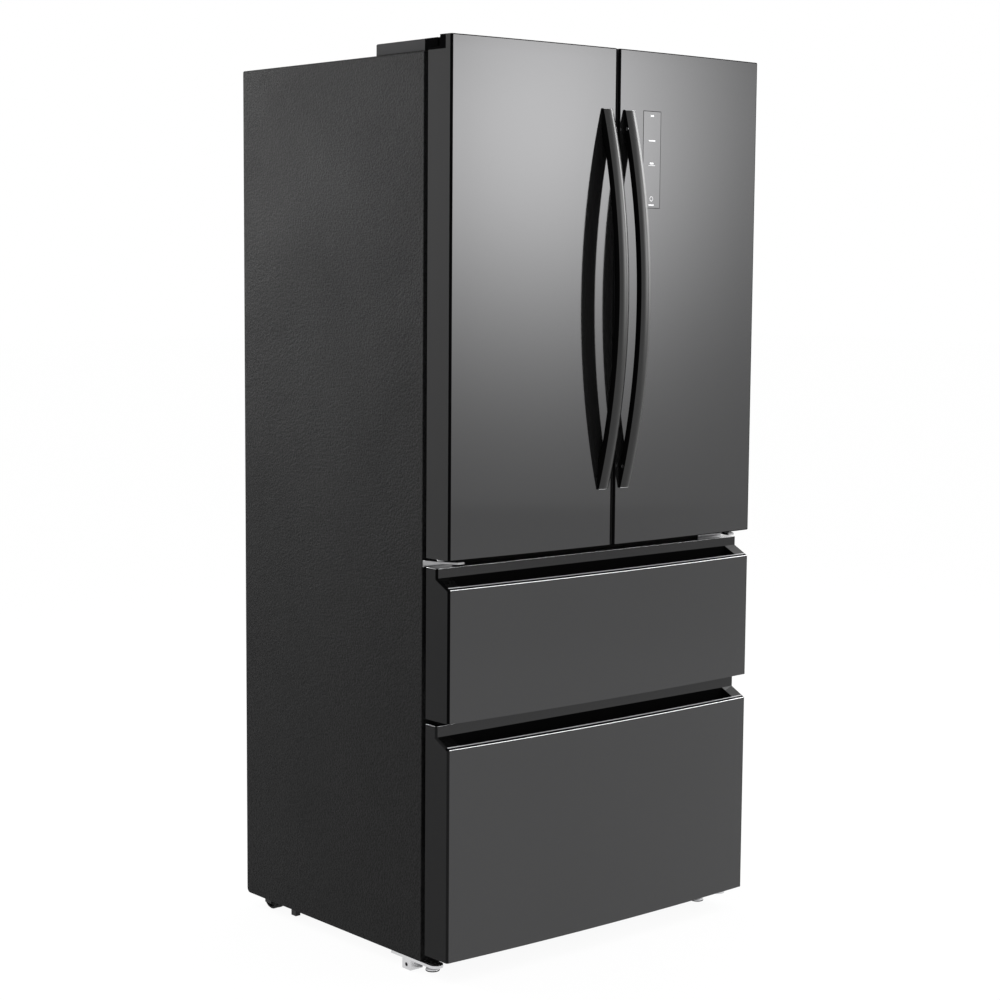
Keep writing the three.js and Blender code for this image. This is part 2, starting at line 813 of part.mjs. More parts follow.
function makeCrispers() {
  const floor = fridgeFloor + seat;
  const coverTop = fridgeFloor + shelfRises.crisper_cover + shelfThickness;
  const crisperTop = coverTop - shelfTrimHeight - crisperTopGap;
  const back = compartmentBack - ductDepth - crisperBackGap;
  for (const { side, hand } of sides) {
    const [x0, x1] = across(side, crisperGap / 2, linerInside - shelfLedge - crisperSideGap);
    const tub = cut(
      block(x0, x1, crisperFront, back, floor, crisperTop),
      block(
        x0 + crisperWall, x1 - crisperWall, crisperFront + crisperWall, back - crisperWall,
        floor + crisperWall, crisperTop + over,
      ),
    );
    const pullBottom = crisperTop - crisperPullDrop;
    const pull = block(
      x0 + crisperPullInset, x1 - crisperPullInset, crisperFront - crisperPullDepth, crisperFront + over,
      pullBottom, pullBottom + crisperPullThickness,
    );
    addPiece(`crisper_${hand}`, join(tub, pull), finishes.clearPlastic);
  }
}

// ---- Hinges ----

function makeTopHinges() {
  const footBottom = cabinetTop + seat;
  const armBottom = notchFloor + hingeArmLift;
  const armTop = armBottom + hingePlate;
  const hingeTop = cabinetTop + hingeCoverHeight;
  const section = [
    [hingeSetBack, armBottom],
    [hingeFootStart - hingeStep, armBottom],
    [hingeFootStart, footBottom],
    [hingeFootEnd, footBottom],
    [hingeFootEnd, footBottom + hingePlate],
    [hingeFootStart + hingePlate, footBottom + hingePlate],
    [hingeFootStart - hingeStep + hingePlate, armTop],
    [hingeSetBack, armTop],
  ];
  for (const { side, hand } of sides) {
    const x = side * hingeX;
    const outer = hingeX + hingeCoverOutset;
    const armOuter = outer - hingeCoverWall - seat;
    const [x0, x1] = across(side, armOuter - hingeArmWidth, armOuter);
    const [c0, c1] = across(side, outer - hingeCapWidth, outer);
    const arm = prismX(section, x0, x1);
    const capBack = hingeCoverStart - seat;
    const cap = join(
      block(c0, c1, hingeCapStart, capBack, armBottom, hingeTop),
      block(c0, c1, cabinetFront, capBack, footBottom, hingeTop),
    );
    const knuckle = rodZ(topKnuckleRadius, x, hingeSetBack, armBottom, hingeTop);
    const pin = rodZ(hingePinRadius, x, hingeSetBack, notchFloor - hingePinLength, armBottom + over, 20);
    addPiece(`top_hinge_${hand}`, join(arm, cap, knuckle, pin), finishes.blackTrim);

    const [a0, a1] = across(side, outer - hingeCoverWidth, outer);
    const wall = hingeCoverWall;
    const shell = cut(
      block(a0, a1, hingeCoverStart, hingeCoverEnd, footBottom, footBottom + hingeCoverHeight),
      block(
        a0 + wall, a1 - wall, hingeCoverStart + wall, hingeCoverEnd - wall,
        footBottom - over, footBottom + hingeCoverHeight - wall,
      ),
      block(
        x0 - over, x1 + over, hingeCoverStart - over, hingeCoverStart + wall + over,
        footBottom - over, armTop + over,
      ),
    );
    addPiece(`hinge_cover_${hand}`, shell, finishes.plainSteel);
  }
}

function makeMiddleHinges() {
  const plateBottom = upperDrawerTop + middleHingeLift;
  const plateTop = plateBottom + hingePlate;
  const back = cabinetFront - seat;
  const outer = halfWidth - middleHingeInset;
  const nose = hingeX - middleHingeNoseInset;
  const outline = [
    [outer, back],
    [outer, back - middleHingeShoulder],
    [hingeX + hingeKnuckleRadius, hingeSetBack],
    [nose + middleHingeNoseWidth, middleHingeNose],
    [nose, middleHingeNose],
    [nose, hingeSetBack - 2 * hingeStep],
    [outer - middleHingeReach, back - middleHingeShoulder],
    [outer - middleHingeReach, back],
  ];
  for (const { side, hand } of sides) {
    const x = side * hingeX;
    const wide = across(side, outer - middleHingeReach, outer);
    const plate = join(
      prismZ(outline.map(([u, v]) => [side * u, v]), plateBottom, plateTop),
      rodZ(hingeKnuckleRadius, x, hingeSetBack, plateBottom, plateTop),
      block(...wide, back - middleHingeFlangeSheet, back, plateTop - middleHingeFlange, plateTop),
      rodZ(hingeBossRadius, x, hingeSetBack, plateTop - over, plateTop + hingePlate),
      rodZ(hingePinRadius, x, hingeSetBack, plateTop, doorBottom + hingePinLength - 2 * over, 20),
    );
    addPiece(`middle_hinge_${hand}`, plate, finishes.plainSteel);
  }
}

// ---- Doors ----

function handleSolid(side, doorOutline) {
  const handleTop = overallHeight - handleTopMargin;
  const handleBottom = doorBottom + handleBottomMargin;
  const handleHalfLength = (handleTop - handleBottom) / 2;
  const handleMiddle = (handleTop + handleBottom) / 2;
  const sagitta = handleProud - handleEndProud;
  const outerRadius = (handleHalfLength ** 2 + sagitta ** 2) / (2 * sagitta);
  const innerRadius = outerRadius - handleThickness;
  const half = handleWidth / 2;
  const domeRadius = (half ** 2 + handleDome ** 2) / (2 * handleDome);
  const domeAngle = THREE.MathUtils.radToDeg(Math.asin(half / domeRadius));
  const section = [
    [innerRadius, -half],
    ...arc(outerRadius - domeRadius, 0, domeRadius, -domeAngle, domeAngle, handleDomeSteps),
    [innerRadius, half],
    [innerRadius, -half],
  ];
  const ring = new THREE.LatheGeometry(section.map(([u, v]) => new THREE.Vector2(u, v)), handleRingSteps);
  ring.rotateZ(Math.PI / 2);
  const x = side * (handleSpacing / 2);
  const surface = frontAt(x);
  ring.translate(x, surface - handleProud + outerRadius, handleMiddle);
  const keep = block(
    x - handleWidth, x + handleWidth, surface - handleProud - over, surface + crown,
    handleBottom, handleTop,
  );
  const door = prismZ(doorOutline, doorBottom, overallHeight);
  return cut(solidOf(ring).intersect(keep), door);
}

function doorShell(side, x0, x1) {
  const outer = prismZ(crownedOutline(x0, x1, 0, doorBack), doorBottom, overallHeight);
  const inner = crownedOutline(x0 + doorWall, x1 - doorWall, doorSkin, doorBack + over);
  const hollow = prismZ(inner, doorBottom + doorCap, overallHeight - doorCap);
  const [n0, n1] = across(side, halfWidth - hingeNotchWidth, halfWidth + over);
  const notch = block(n0, n1, hingeNotchLip, doorBack + over, notchFloor, overallHeight + over);
  const bore = hingePinRadius + seat;
  const x = side * hingeX;
  const topBore = rodZ(bore, x, hingeSetBack, notchFloor - hingePinLength - over, notchFloor + over, 20);
  const bottomBore = rodZ(bore, x, hingeSetBack, doorBottom - over, doorBottom + hingePinLength, 20);
  return cut(outer, hollow, notch, topBore, bottomBore);
}

// Inner side of a door: foam core in the shell, a dike around the bins, and the bins' lugs.
function doorLiner(side, x0, x1) {
  const margin = doorWall + seat;
  const coreOutline = crownedOutline(x0 + margin, x1 - margin, doorSkin + seat, doorBack);
  const core = prismZ(coreOutline, doorBottom + doorCap + seat, overallHeight - doorCap - seat);
  const dike = across(side, dikeCentreEdge, halfWidth - dikeHingeEdge);
  const field = across(side, dikeCentreEdge + dikeWidth, halfWidth - dikeHingeEdge - dikeWidth);
  const raised = block(...dike, doorBack - over, doorBack + dikeDepth, dikeBottom, dikeTop);
  const recess = block(
    ...field, doorBack, doorBack + dikeDepth + over, dikeBottom + dikeWidth, dikeTop - dikeWidth,
  );
  const lugFace = [doorBack - over, doorBack + dikeDepth - binLug];
  const lugs = [field[0] - over, field[1] - binLug].map((x) => block(
    x, x + binLug + over, ...lugFace, binBottom - seat - binLug, binBottom - seat,
  ));
  return join(core, cut(raised, recess), ...lugs);
}

function doorBin(side) {
  const margin = dikeWidth + seat;
  const [x0, x1] = across(side, dikeCentreEdge + margin, halfWidth - dikeHingeEdge - margin);
  const back = doorBack + seat;
  return cut(
    block(x0, x1, back, back + binDepth, binBottom, binBottom + binHeight),
    block(
      x0 + binWall, x1 - binWall, back + binWall, back + binDepth - binWall,
      binBottom + binWall, binBottom + binHeight + over,
    ),
  );
}

function makeDoors() {
  for (const { side, hand } of sides) {
    const [x0, x1] = across(side, centreGap / 2, halfWidth);
    const outline = crownedOutline(x0, x1, -seat, doorBack);
    let shell = doorShell(side, x0, x1);
    if (side > 0) {
      const panelSpan = [panelLeft, panelLeft + panelWidth];
      const panelBottom = overallHeight - panelTopMargin - panelHeight;
      const recess = block(
        panelSpan[0] - seat, panelSpan[1] + seat, -crown - over, doorSkin,
        panelBottom - seat, panelBottom + panelHeight + seat,
      );
      const behind = crownedOutline(x0, x1, panelThickness + seat, doorBack);
      shell = cut(shell, cut(recess, prismZ(behind, doorBottom, overallHeight)));
      const plate = block(...panelSpan, -crown - over, doorSkin, panelBottom, panelBottom + panelHeight);
      const face = prismZ(crownedOutline(x0, x1, 0, doorBack), doorBottom, overallHeight);
      const under = prismZ(crownedOutline(x0, x1, panelThickness, doorBack), doorBottom, overallHeight);
      addPiece('control_panel', cut(plate.intersect(face), under), finishes.blackTrim);
    }
    addPiece(`${hand}_door_panel`, shell, finishes.blackSteel);
    addPiece(`${hand}_handle`, handleSolid(side, outline), finishes.blackTrim);
    addPiece(`${hand}_door_bin`, doorBin(side), finishes.clearPlastic);

    const [g0, g1] = across(side, centreGap, halfWidth - gasketEdge);
    const low = doorBottom + gasketBottomEdge;
    const high = overallHeight - gasketTopEdge;
    const gasket = ringPlate([g0, g1, low, high], gasketWidth, doorBack + seat, cabinetFront - seat);
    addPiece(`${hand}_door_gasket`, gasket, finishes.gasketRubber);

    let liner = doorLiner(side, x0, x1);
    if (side < 0) {
      liner = join(liner, ...flapLugs());
    }
    addPiece(`${hand}_door_liner`, liner, finishes.whiteLiner);
  }
}

// Two lugs on the left door's liner hold the flap's pins, below and above it.
function flapLugs() {
  const axisY = doorBack + flapAxisBehindDoor;
  return [dikeBottom, dikeTop - flapLugHeight].map((z) => cut(
    block(
      -dikeCentreEdge - over, -flapAxisFromCentre + flapThickness / 2,
      doorBack - over, axisY + flapThickness / 2,
      z, z + flapLugHeight,
    ),
    rodZ(flapPinRadius + seat, -flapAxisFromCentre, axisY, z - over, z + flapLugHeight + over, 16),
  ));
}

function makeMullionFlap() {
  const axisY = doorBack + flapAxisBehindDoor;
  const half = flapThickness / 2;
  const low = dikeBottom + flapLugHeight + running;
  const high = dikeTop - flapLugHeight - running;
  const bar = block(
    -flapAxisFromCentre - half, -flapAxisFromCentre + half, axisY, axisY + flapLength, low, high,
  );
  const knuckle = rodZ(half, -flapAxisFromCentre, axisY, low, high);
  const pins = [[low - flapPinLength, low + over], [high - over, high + flapPinLength]].map(
    ([z0, z1]) => rodZ(flapPinRadius, -flapAxisFromCentre, axisY, z0, z1, 16),
  );
  addPiece('mullion_flap', join(bar, knuckle, ...pins), finishes.darkPlastic);
}

// ---- Drawers ----

function drawerFront(bottom, top, strip) {
  const stripBottom = top - strip;
  const lipTop = stripBottom - gripChamferRise;
  const fall = (gripChamferRise / gripSetBack) * gripRunOut;
  const section = [
    [-gripRunOut, bottom],
    [doorBack, bottom],
    [doorBack, top],
    [gripSetBack, top],
    [gripSetBack, stripBottom],
    [-gripRunOut, lipTop - fall],
  ];
  const profile = prismX(section, -halfWidth, halfWidth);
  const plan = prismZ(crownedOutline(-halfWidth, halfWidth, 0, doorBack), bottom, top);
  const pocketHalf = halfWidth - gripEndMargin;
  const pocketBottom = stripBottom - gripPocketDepth;
  const pocket = block(
    -pocketHalf, pocketHalf, gripLipDepth, gripSetBack, pocketBottom, stripBottom + over,
  );
  return cut(profile.intersect(plan), pocket);
}

// Foam-filled inner side of a drawer front: full depth below the pocket, thin behind it.
function drawerCore(bottom, top, strip, clearance) {
  const margin = doorWall + clearance;
  const pocketBottom = top - strip - gripPocketDepth;
  const plan = crownedOutline(-halfWidth + margin, halfWidth - margin, doorSkin + clearance, doorBack);
  const deep = prismZ(plan, bottom + margin, pocketBottom - margin);
  const half = halfWidth - margin;
  const thin = block(
    -half, half, gripSetBack + margin, doorBack, pocketBottom - margin - over, top - margin,
  );
  return join(deep, thin);
}

function drawerFrame(slideBottom) {
  const z0 = slideBottom + slideLip + running;
  const z1 = slideBottom + slideHeight - slideLip - running;
  const outer = linerInside - seat - slideWeb - running;
  const back = slideEnd - slideEndClearance;
  const arms = sides.map(({ side }) => {
    const [x0, x1] = across(side, outer - armWidth, outer);
    return block(x0, x1, doorBack + seat, back, z0, z1);
  });
  const half = outer - over;
  const bar = block(-half, half, back - crossBarDepth, back, z0, z1);
  return join(arms[0], arms[1], bar);
}

function basket(slideBottom, bottom, back) {
  const basketFront = doorBack + basketFrontGap;
  const armTop = slideBottom + slideHeight - slideLip - running;
  const armInside = linerInside - seat - slideWeb - running - armWidth;
  const half = armInside - running;
  const rimBottom = armTop + seat;
  const rimTop = rimBottom + basketRim;
  const rimHalf = linerInside - seat - slideReach - running;
  const inner = half - basketWall;
  return cut(
    join(
      block(-half, half, basketFront, back, bottom, rimTop),
      block(-rimHalf, rimHalf, basketFront, back, rimBottom, rimTop),
    ),
    block(-inner, inner, basketFront + basketWall, back - basketWall, bottom + basketWall, rimTop + over),
  );
}

function fixedSlide(side, bottom) {
  const outer = linerInside - seat;
  const top = bottom + slideHeight;
  const [w0, w1] = across(side, outer - slideWeb, outer);
  const [l0, l1] = across(side, outer - slideReach, outer);
  return join(
    block(w0, w1, slideStart, slideEnd, bottom, top),
    block(l0, l1, slideStart, slideEnd, bottom, bottom + slideLip),
    block(l0, l1, slideStart, slideEnd, top - slideLip, top),
  );
}

function makeDrawer(name, sizes) {
  const { bottom, top, strip, slideBottom, basketBottom, basketBack, sealLow, sealHigh } = sizes;
  const shell = cut(drawerFront(bottom, top, strip), drawerCore(bottom, top, strip, 0));
  addPiece(`${name}_drawer_front`, shell, finishes.blackSteel);
  addPiece(`${name}_drawer_core`, drawerCore(bottom, top, strip, seat), finishes.whiteLiner);
  const half = halfWidth - gasketEdge;
  const edges = [-half, half, sealLow, sealHigh];
  const gasket = ringPlate(edges, gasketWidth, doorBack + seat, cabinetFront - seat);
  addPiece(`${name}_drawer_gasket`, gasket, finishes.gasketRubber);
  addPiece(`${name}_drawer_frame`, drawerFrame(slideBottom), finishes.plainSteel);
  addPiece(`${name}_basket`, basket(slideBottom, basketBottom, basketBack), finishes.clearPlastic);
  for (const { side, hand } of sides) {
    addPiece(`${name}_slide_${hand}`, fixedSlide(side, slideBottom), finishes.plainSteel);
  }
}

// ---- The whole refrigerator ----

makeSheets();
makeFrontFrame();
makeInsulation();
makeFridgeLiner();
makeFreezerLiner();
makeBasePan();
makeFeet();
makeRollers();
makeMachine();
makeMachineCover();
makeFreezerBack();
makeAirDuct();
makeShelves();
makeCrispers();
makeTopHinges();
makeMiddleHinges();
makeDoors();
makeMullionFlap();
makeDrawer('upper', {
  bottom: upperDrawerBottom,
  top: upperDrawerTop,
  strip: upperGripStrip,
  slideBottom: upperSlideBottom,
  basketBottom: middleRailTop + upperBasketRise,
  basketBack: coverFront - upperBasketBackGap,
  sealLow: middleRailTop - gasketWidth - gasketRailGap,
  sealHigh: upperDrawerCeiling + gasketWidth + gasketFrameGap,
});
makeDrawer('lower', {
  bottom: lowerDrawerBottom,
  top: lowerDrawerTop,
  strip: lowerGripStrip,
  slideBottom: lowerSlideBottom,
  basketBottom: freezerFloor + lowerBasketRise,
  basketBack: stepBack - lowerBasketBackGap,
  sealLow: freezerFloor - gasketWidth - gasketFrameGap,
  sealHigh: middleRailBottom + gasketWidth + gasketRailGap,
});

// The origin stands on the floor under the middle of the overall box, handles included.
const handleFront = frontAt(handleSpacing / 2) - handleProud;
refrigerator.position.y = -(handleFront + cabinetBack) / 2;
refrigerator.updateMatrixWorld(true);

export default refrigerator;
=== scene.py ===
"""Dresses the french door refrigerator: skins, handles, trim, finishes, light and camera."""

import json
import math

import bmesh
import bpy
from mathutils import Matrix, Vector


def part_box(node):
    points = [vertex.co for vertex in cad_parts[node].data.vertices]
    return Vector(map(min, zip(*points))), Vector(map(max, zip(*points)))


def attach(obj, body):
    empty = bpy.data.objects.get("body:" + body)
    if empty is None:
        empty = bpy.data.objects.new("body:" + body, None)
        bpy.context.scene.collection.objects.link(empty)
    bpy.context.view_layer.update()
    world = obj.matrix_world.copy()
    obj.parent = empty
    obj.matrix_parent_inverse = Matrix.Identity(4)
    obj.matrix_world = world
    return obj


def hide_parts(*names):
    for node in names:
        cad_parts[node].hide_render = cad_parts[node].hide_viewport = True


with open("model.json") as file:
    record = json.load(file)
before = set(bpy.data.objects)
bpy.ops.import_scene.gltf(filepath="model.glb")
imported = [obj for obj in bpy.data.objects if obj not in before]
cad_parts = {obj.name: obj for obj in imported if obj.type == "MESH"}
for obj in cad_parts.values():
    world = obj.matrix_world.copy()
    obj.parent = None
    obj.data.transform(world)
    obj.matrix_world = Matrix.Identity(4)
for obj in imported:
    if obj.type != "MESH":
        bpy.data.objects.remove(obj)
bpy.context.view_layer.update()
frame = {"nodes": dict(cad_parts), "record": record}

bl_info = {
    "name": "French Door Refrigerator",
    "version": (1, 0, 0),
    "blender": (4, 5, 0),
    "location": "3D View > Sidebar > Refrigerator",
    "description": "Builds the visible skins, trim and finishes of a french door refrigerator",
    "category": "Object",
}

HANDS = ("left", "right")
SIDE = {"left": -1, "right": 1}
DRAWERS = ("upper_drawer", "lower_drawer")
UP = Vector((0, 0, 1))

# The slot and the body of every solid that the record lists.
NODE_SLOT = {part["node"]: part["material_slot"] for part in frame["record"]["subparts"]}
NODE_BODY = {
    node: body for body, nodes in frame["record"]["behaviour"]["bodies"].items() for node in nodes
}


# ---- Sizes and colours ----


def length(name, description, default):
    return bpy.props.FloatProperty(
        name=name, description=description, default=default, unit="LENGTH", subtype="DISTANCE"
    )


def tint(name, description, default):
    return bpy.props.FloatVectorProperty(
        name=name, description=description, default=default, size=3, subtype="COLOR",
        min=0.0, max=1.0,
    )


class FridgeSizes(bpy.types.PropertyGroup):
    crown: length("Front crown", "How far the fronts bow out at the middle", 0.012)
    corner_radius: length("Corner radius", "Rounding of the fronts' upright edges", 0.004)
    edge_radius: length("Edge radius", "Rounding of the doors' top and bottom edges", 0.002)
    small_edge: length("Small edge", "Rounding of bends and moulded edges", 0.0008)
    door_thickness: length("Door thickness", "Corner of a front to its back", 0.0675)
    door_skin: length("Door skin", "Front wall of a door shell", 0.004)
    door_wall: length("Door wall", "Side wall of a door shell", 0.002)
    door_cap: length("Door cap", "Solid end above and below a door's hollow", 0.040)
    notch_width: length("Hinge notch width", "Width of the notch over the top hinge", 0.056)
    notch_depth: length("Hinge notch depth", "Height of the notch over the top hinge", 0.021)
    notch_lip: length("Hinge notch lip", "Front lip that hides the top hinge", 0.033)
    cap_show: length("End cap", "Height of the black end cap that shows under the notch", 0.005)
    grip_set_back: length("Grip set-back", "How far the strip above a grip stands back", 0.036)
    grip_rise: length("Grip rise", "Height of the sloped top of a drawer's front", 0.0186)
    upper_strip: length("Upper strip", "Height of the upper drawer's strip", 0.018)
    lower_strip: length("Lower strip", "Height of the lower drawer's strip", 0.021)
    grip_lip: length("Grip lip", "Thickness of the folded lip in front of a grip", 0.0076)
    grip_depth: length("Grip depth", "Depth of a grip below its strip", 0.038)
    grip_end: length("Grip end", "Solid end beside a grip", 0.033)
    lip_edge: length("Lip edge", "Bright rounding along both edges of a drawer's lip", 0.0006)
    # Width of a painted highlight: a bright stripe along the back of each drawer's lip.
    lip_painted_highlight: length("Lip line", "Bright line along the back of a drawer's lip", 0.0024)
    handle_width: length("Handle width", "Width of a door handle", 0.026)
    handle_thickness: length("Handle thickness", "Front to back of a door handle", 0.018)
    handle_stand_off: length("Handle stand-off", "Clearance behind a handle's middle", 0.042)
    handle_end_proud: length("Handle end", "How far a handle's ends stand off the door", 0.008)
    handle_dome: length("Handle dome", "Rise of a handle's domed front", 0.004)
    handle_edge: length("Handle edge", "Rounding of a handle's long edges", 0.0012)
    wrap_bend: length("Wrap bend", "Bend along the top of the cabinet's sides", 0.004)
    sheet: length("Sheet", "Thickness of the cabinet's sheet", 0.0014)
    gasket_width: length("Gasket width", "Width of a door gasket", 0.016)
    cover_wall: length("Hinge cover wall", "Wall of the grey hinge covers", 0.002)
    # The black band is a painted shadow gap under each hinge cover.
    cover_shadow_band: length("Hinge cover seam", "Black seam under the grey hinge covers", 0.0022)
    cover_edge: length("Hinge cover edge", "Rounding of the hinge covers' top edges", 0.003)
    rear_corner: length("Rear corner", "Rounding of the cabinet's lower rear corners", 0.010)
    pad_height: length("Foot pad", "Height of the rubber pad under a levelling foot", 0.0024)
    shelf_pane: length("Shelf pane", "Thickness of a shelf's glass and rim", 0.005)
    shelf_rim: length("Shelf rim", "Width of the moulded rim round a shelf's glass", 0.014)
    shelf_trim: length("Shelf trim", "Depth of the trim along a shelf's front", 0.008)
    tub_wall: length("Tub wall", "Wall of bins, crispers and baskets", 0.003)
    tub_corner: length("Tub corner", "Rounding of the corners of bins and crispers", 0.014)
    pull_depth: length("Crisper pull", "How far a crisper's pull stands ahead of it", 0.014)
    basket_wing: length("Basket flange", "Width of the flanges beside a basket", 0.0048)
    plate: length("Rear plate", "Thickness of the pressed rear sheets", 0.0006)


class FridgeColours(bpy.types.PropertyGroup):
    cabinet: tint("Cabinet paint", "Textured paint of the cabinet", (0.0046, 0.0046, 0.0047))
    front: tint("Front steel", "Dark tinted steel of the fronts", (0.0618, 0.0618, 0.0627))
    front_side: tint("Door sides", "Painted sides of the doors", (0.028, 0.028, 0.0283))
    # The drawer sides are the doors' side paint made darker: painted shade.
    drawer_side_painted_shade: tint("Drawer sides", "Painted sides of the drawers", (0.0155, 0.0155, 0.0158))
    handle: tint("Handle gloss", "Dark polished front of the handles", (0.001, 0.001, 0.001))
    # This dim grey is a painted reflection on the lower drawer's rounded corners.
    corner: tint("Drawer corner", "Upright edges of the lower drawer", (0.008, 0.008, 0.0082))
    # Besides black mouldings, this colour paints shade and dark reflections: on the fronts' rounded
    # edges, in the grips, on the lips and under the hinge covers.
    trim: tint("Trim", "Black mouldings and edges", (0.0022, 0.0022, 0.0023))
    cover: tint("Hinge cover", "Grey moulding over the hinges", (0.034, 0.034, 0.035))
    liner: tint("Liner", "White plastic inside", (0.78, 0.79, 0.80))
    rear: tint("Rear sheet", "Galvanised sheet on the back", (0.15, 0.152, 0.155))
    # A painted highlight: a bright stripe along the back of each drawer's lip.
    lip_painted_highlight: tint("Lip line", "Polished line along the back of a drawer's lip", (0.42, 0.42, 0.43))
    steel: tint("Bright steel", "Plated hinges and brackets", (0.62, 0.62, 0.63))


def sizes():
    return bpy.context.scene.fridge_sizes


def colours():
    return bpy.context.scene.fridge_colours


# ---- Shading ----


def feed(tree, socket, value):
    """Links a socket to another node's output, or gives it a plain value."""
    if isinstance(value, bpy.types.NodeSocket):
        tree.links.new(value, socket)
    else:
        socket.default_value = value


def add(tree, kind, settings=None, **inputs):
    """Adds a node with its settings, and its inputs by name."""
    made = tree.nodes.new(kind)
    for key, value in (settings or {}).items():
        setattr(made, key, value)
    for key, value in inputs.items():
        feed(tree, made.inputs[key.replace("_", " ")], value)
    return made


def reckon(tree, operation, *values, kind="ShaderNodeMath", **settings):
    """The result of a math node whose inputs are given in order."""
    made = add(tree, kind, {"operation": operation, **settings})
    for socket, value in zip(made.inputs, values):
        feed(tree, socket, value)
    return made.outputs["Value" if operation == "DOT_PRODUCT" else 0]


def effect(name, outputs, inputs=("Scale",)):
    """A node group with a Vector input, and numbers by name as its inputs and outputs."""
    tree = bpy.data.node_groups.new(name, "ShaderNodeTree")
    tree.interface.new_socket("Vector", in_out="INPUT", socket_type="NodeSocketVector")
    for side, labels in (("INPUT", inputs), ("OUTPUT", outputs)):
        for label in labels:
            tree.interface.new_socket(label, in_out=side, socket_type="NodeSocketFloat")
    return tree, tree.nodes.new("NodeGroupInput").outputs, tree.nodes.new("NodeGroupOutput").inputs


def mottle_effect():
    """Soft cloudy variation, 0 to 1, for tone and sheen."""
    tree, given, out = effect("soft_mottle", ["Value"], ["Scale", "Contrast"])
    noise = add(
        tree, "ShaderNodeTexNoise", Vector=given["Vector"], Scale=given["Scale"], Detail=4.0,
        Roughness=0.55,
    )
    centred = reckon(tree, "SUBTRACT", noise.outputs["Fac"], 0.5)
    spread = reckon(tree, "MULTIPLY_ADD", centred, given["Contrast"], 0.5, use_clamp=True)
    feed(tree, out["Value"], spread)
    return tree


def stipple_effect():
    """Embossed leather-like cells of a textured coating."""
    tree, given, out = effect("embossed_stipple", ["Height", "Value"])
    bend = add(tree, "ShaderNodeTexNoise", Vector=given["Vector"], Scale=260.0, Detail=2.0)
    shift = add(
        tree, "ShaderNodeVectorMath", {"operation": "SCALE"}, Vector=bend.outputs["Color"],
        Scale=0.0016,
    )
    moved = reckon(
        tree, "ADD", given["Vector"], shift.outputs[0], kind="ShaderNodeVectorMath"
    )
    cells = add(
        tree, "ShaderNodeTexVoronoi", {"feature": "SMOOTH_F1"}, Vector=moved,
        Scale=given["Scale"], Smoothness=0.6,
    ).outputs["Distance"]
    fine = add(tree, "ShaderNodeTexNoise", Vector=moved, Scale=1500.0, Detail=2.0)
    blend = add(
        tree, "ShaderNodeMix", {"data_type": "FLOAT"}, Factor=0.4, A=cells, B=fine.outputs["Fac"],
    )
    feed(tree, out["Height"], blend.outputs[0])
    feed(tree, out["Value"], reckon(tree, "MULTIPLY", cells, 1.5))
    return tree


def brushed_effect():
    """Long fine scratches, stretched by the mapping that feeds it."""
    tree, given, out = effect("brushed_grain", ["Height", "Value"])
    noise = add(
        tree, "ShaderNodeTexNoise", Vector=given["Vector"], Scale=given["Scale"], Detail=3.0,
        Roughness=0.65,
    )
    feed(tree, out["Height"], noise.outputs["Fac"])
    feed(tree, out["Value"], noise.outputs["Fac"])
    return tree


def peel_effect():
    """Orange peel of sprayed or moulded surfaces, with a few fine specks."""
    tree, given, out = effect("moulded_peel", ["Height", "Value"])
    place = {"Vector": given["Vector"], "Scale": given["Scale"]}
    peel = add(tree, "ShaderNodeTexNoise", Detail=2.0, **place).outputs["Fac"]
    specks = add(tree, "ShaderNodeTexVoronoi", **place).outputs["Distance"]
    blend = add(tree, "ShaderNodeMix", {"data_type": "FLOAT"}, Factor=0.25, A=peel, B=specks)
    feed(tree, out["Height"], blend.outputs[0])
    feed(tree, out["Value"], peel)
    return tree


EFFECTS = {}
FINISHES = {}


def surface(
    name, colour, roughness, metallic=0.0, texture="moulded_peel", grain=400.0,
    stretch=(1, 1, 1), bump=0.1, relief=0.0001, tone=0.08, sheen_spread=0.06, patches=5.0,
    grain_tone=0.0, **fixed,
):
    """A procedural finish: patchy tone and sheen, and the relief of one of the effects."""
    material = bpy.data.materials.new(name)
    material.use_nodes = True
    tree = material.node_tree
    place = add(tree, "ShaderNodeTexCoord").outputs["Object"]
    mapped = add(tree, "ShaderNodeMapping", Vector=place, Scale=stretch).outputs[0]
    pattern = add(
        tree, "ShaderNodeGroup", {"node_tree": EFFECTS[texture]}, Vector=mapped, Scale=grain,
    ).outputs
    cloud = add(
        tree, "ShaderNodeGroup", {"node_tree": EFFECTS["soft_mottle"]}, Vector=place,
        Scale=patches, Contrast=1.6,
    ).outputs["Value"]
    shade = add(tree, "ShaderNodeMix", {"data_type": "RGBA"}, Factor=cloud)
    for index, factor in ((6, 1 - tone), (7, 1 + tone)):
        shade.inputs[index].default_value = [min(1.0, part * factor) for part in colour] + [1.0]
    base = shade.outputs[2]
    if grain_tone:
        deeper = add(
            tree, "ShaderNodeMapRange", Value=pattern["Value"], From_Min=0.2, From_Max=0.8,
            To_Min=1 - grain_tone, To_Max=1 + grain_tone,
        )
        base = add(
            tree, "ShaderNodeVectorMath", {"operation": "SCALE"}, Vector=base,
            Scale=deeper.outputs[0],
        ).outputs[0]
    sheen = add(
        tree, "ShaderNodeMapRange", Value=cloud, To_Min=max(0.0, roughness - sheen_spread),
        To_Max=min(1.0, roughness + sheen_spread),
    )
    raised = add(
        tree, "ShaderNodeBump", Strength=bump, Distance=relief, Height=pattern["Height"],
    )
    shader = tree.nodes["Principled BSDF"].inputs
    feed(tree, shader["Base Color"], base)
    feed(tree, shader["Roughness"], sheen.outputs[0])
    feed(tree, shader["Normal"], raised.outputs[0])
    shader["Metallic"].default_value = metallic
    for key, value in fixed.items():
        shader[key.replace("_", " ")].default_value = value
    FINISHES[name] = material


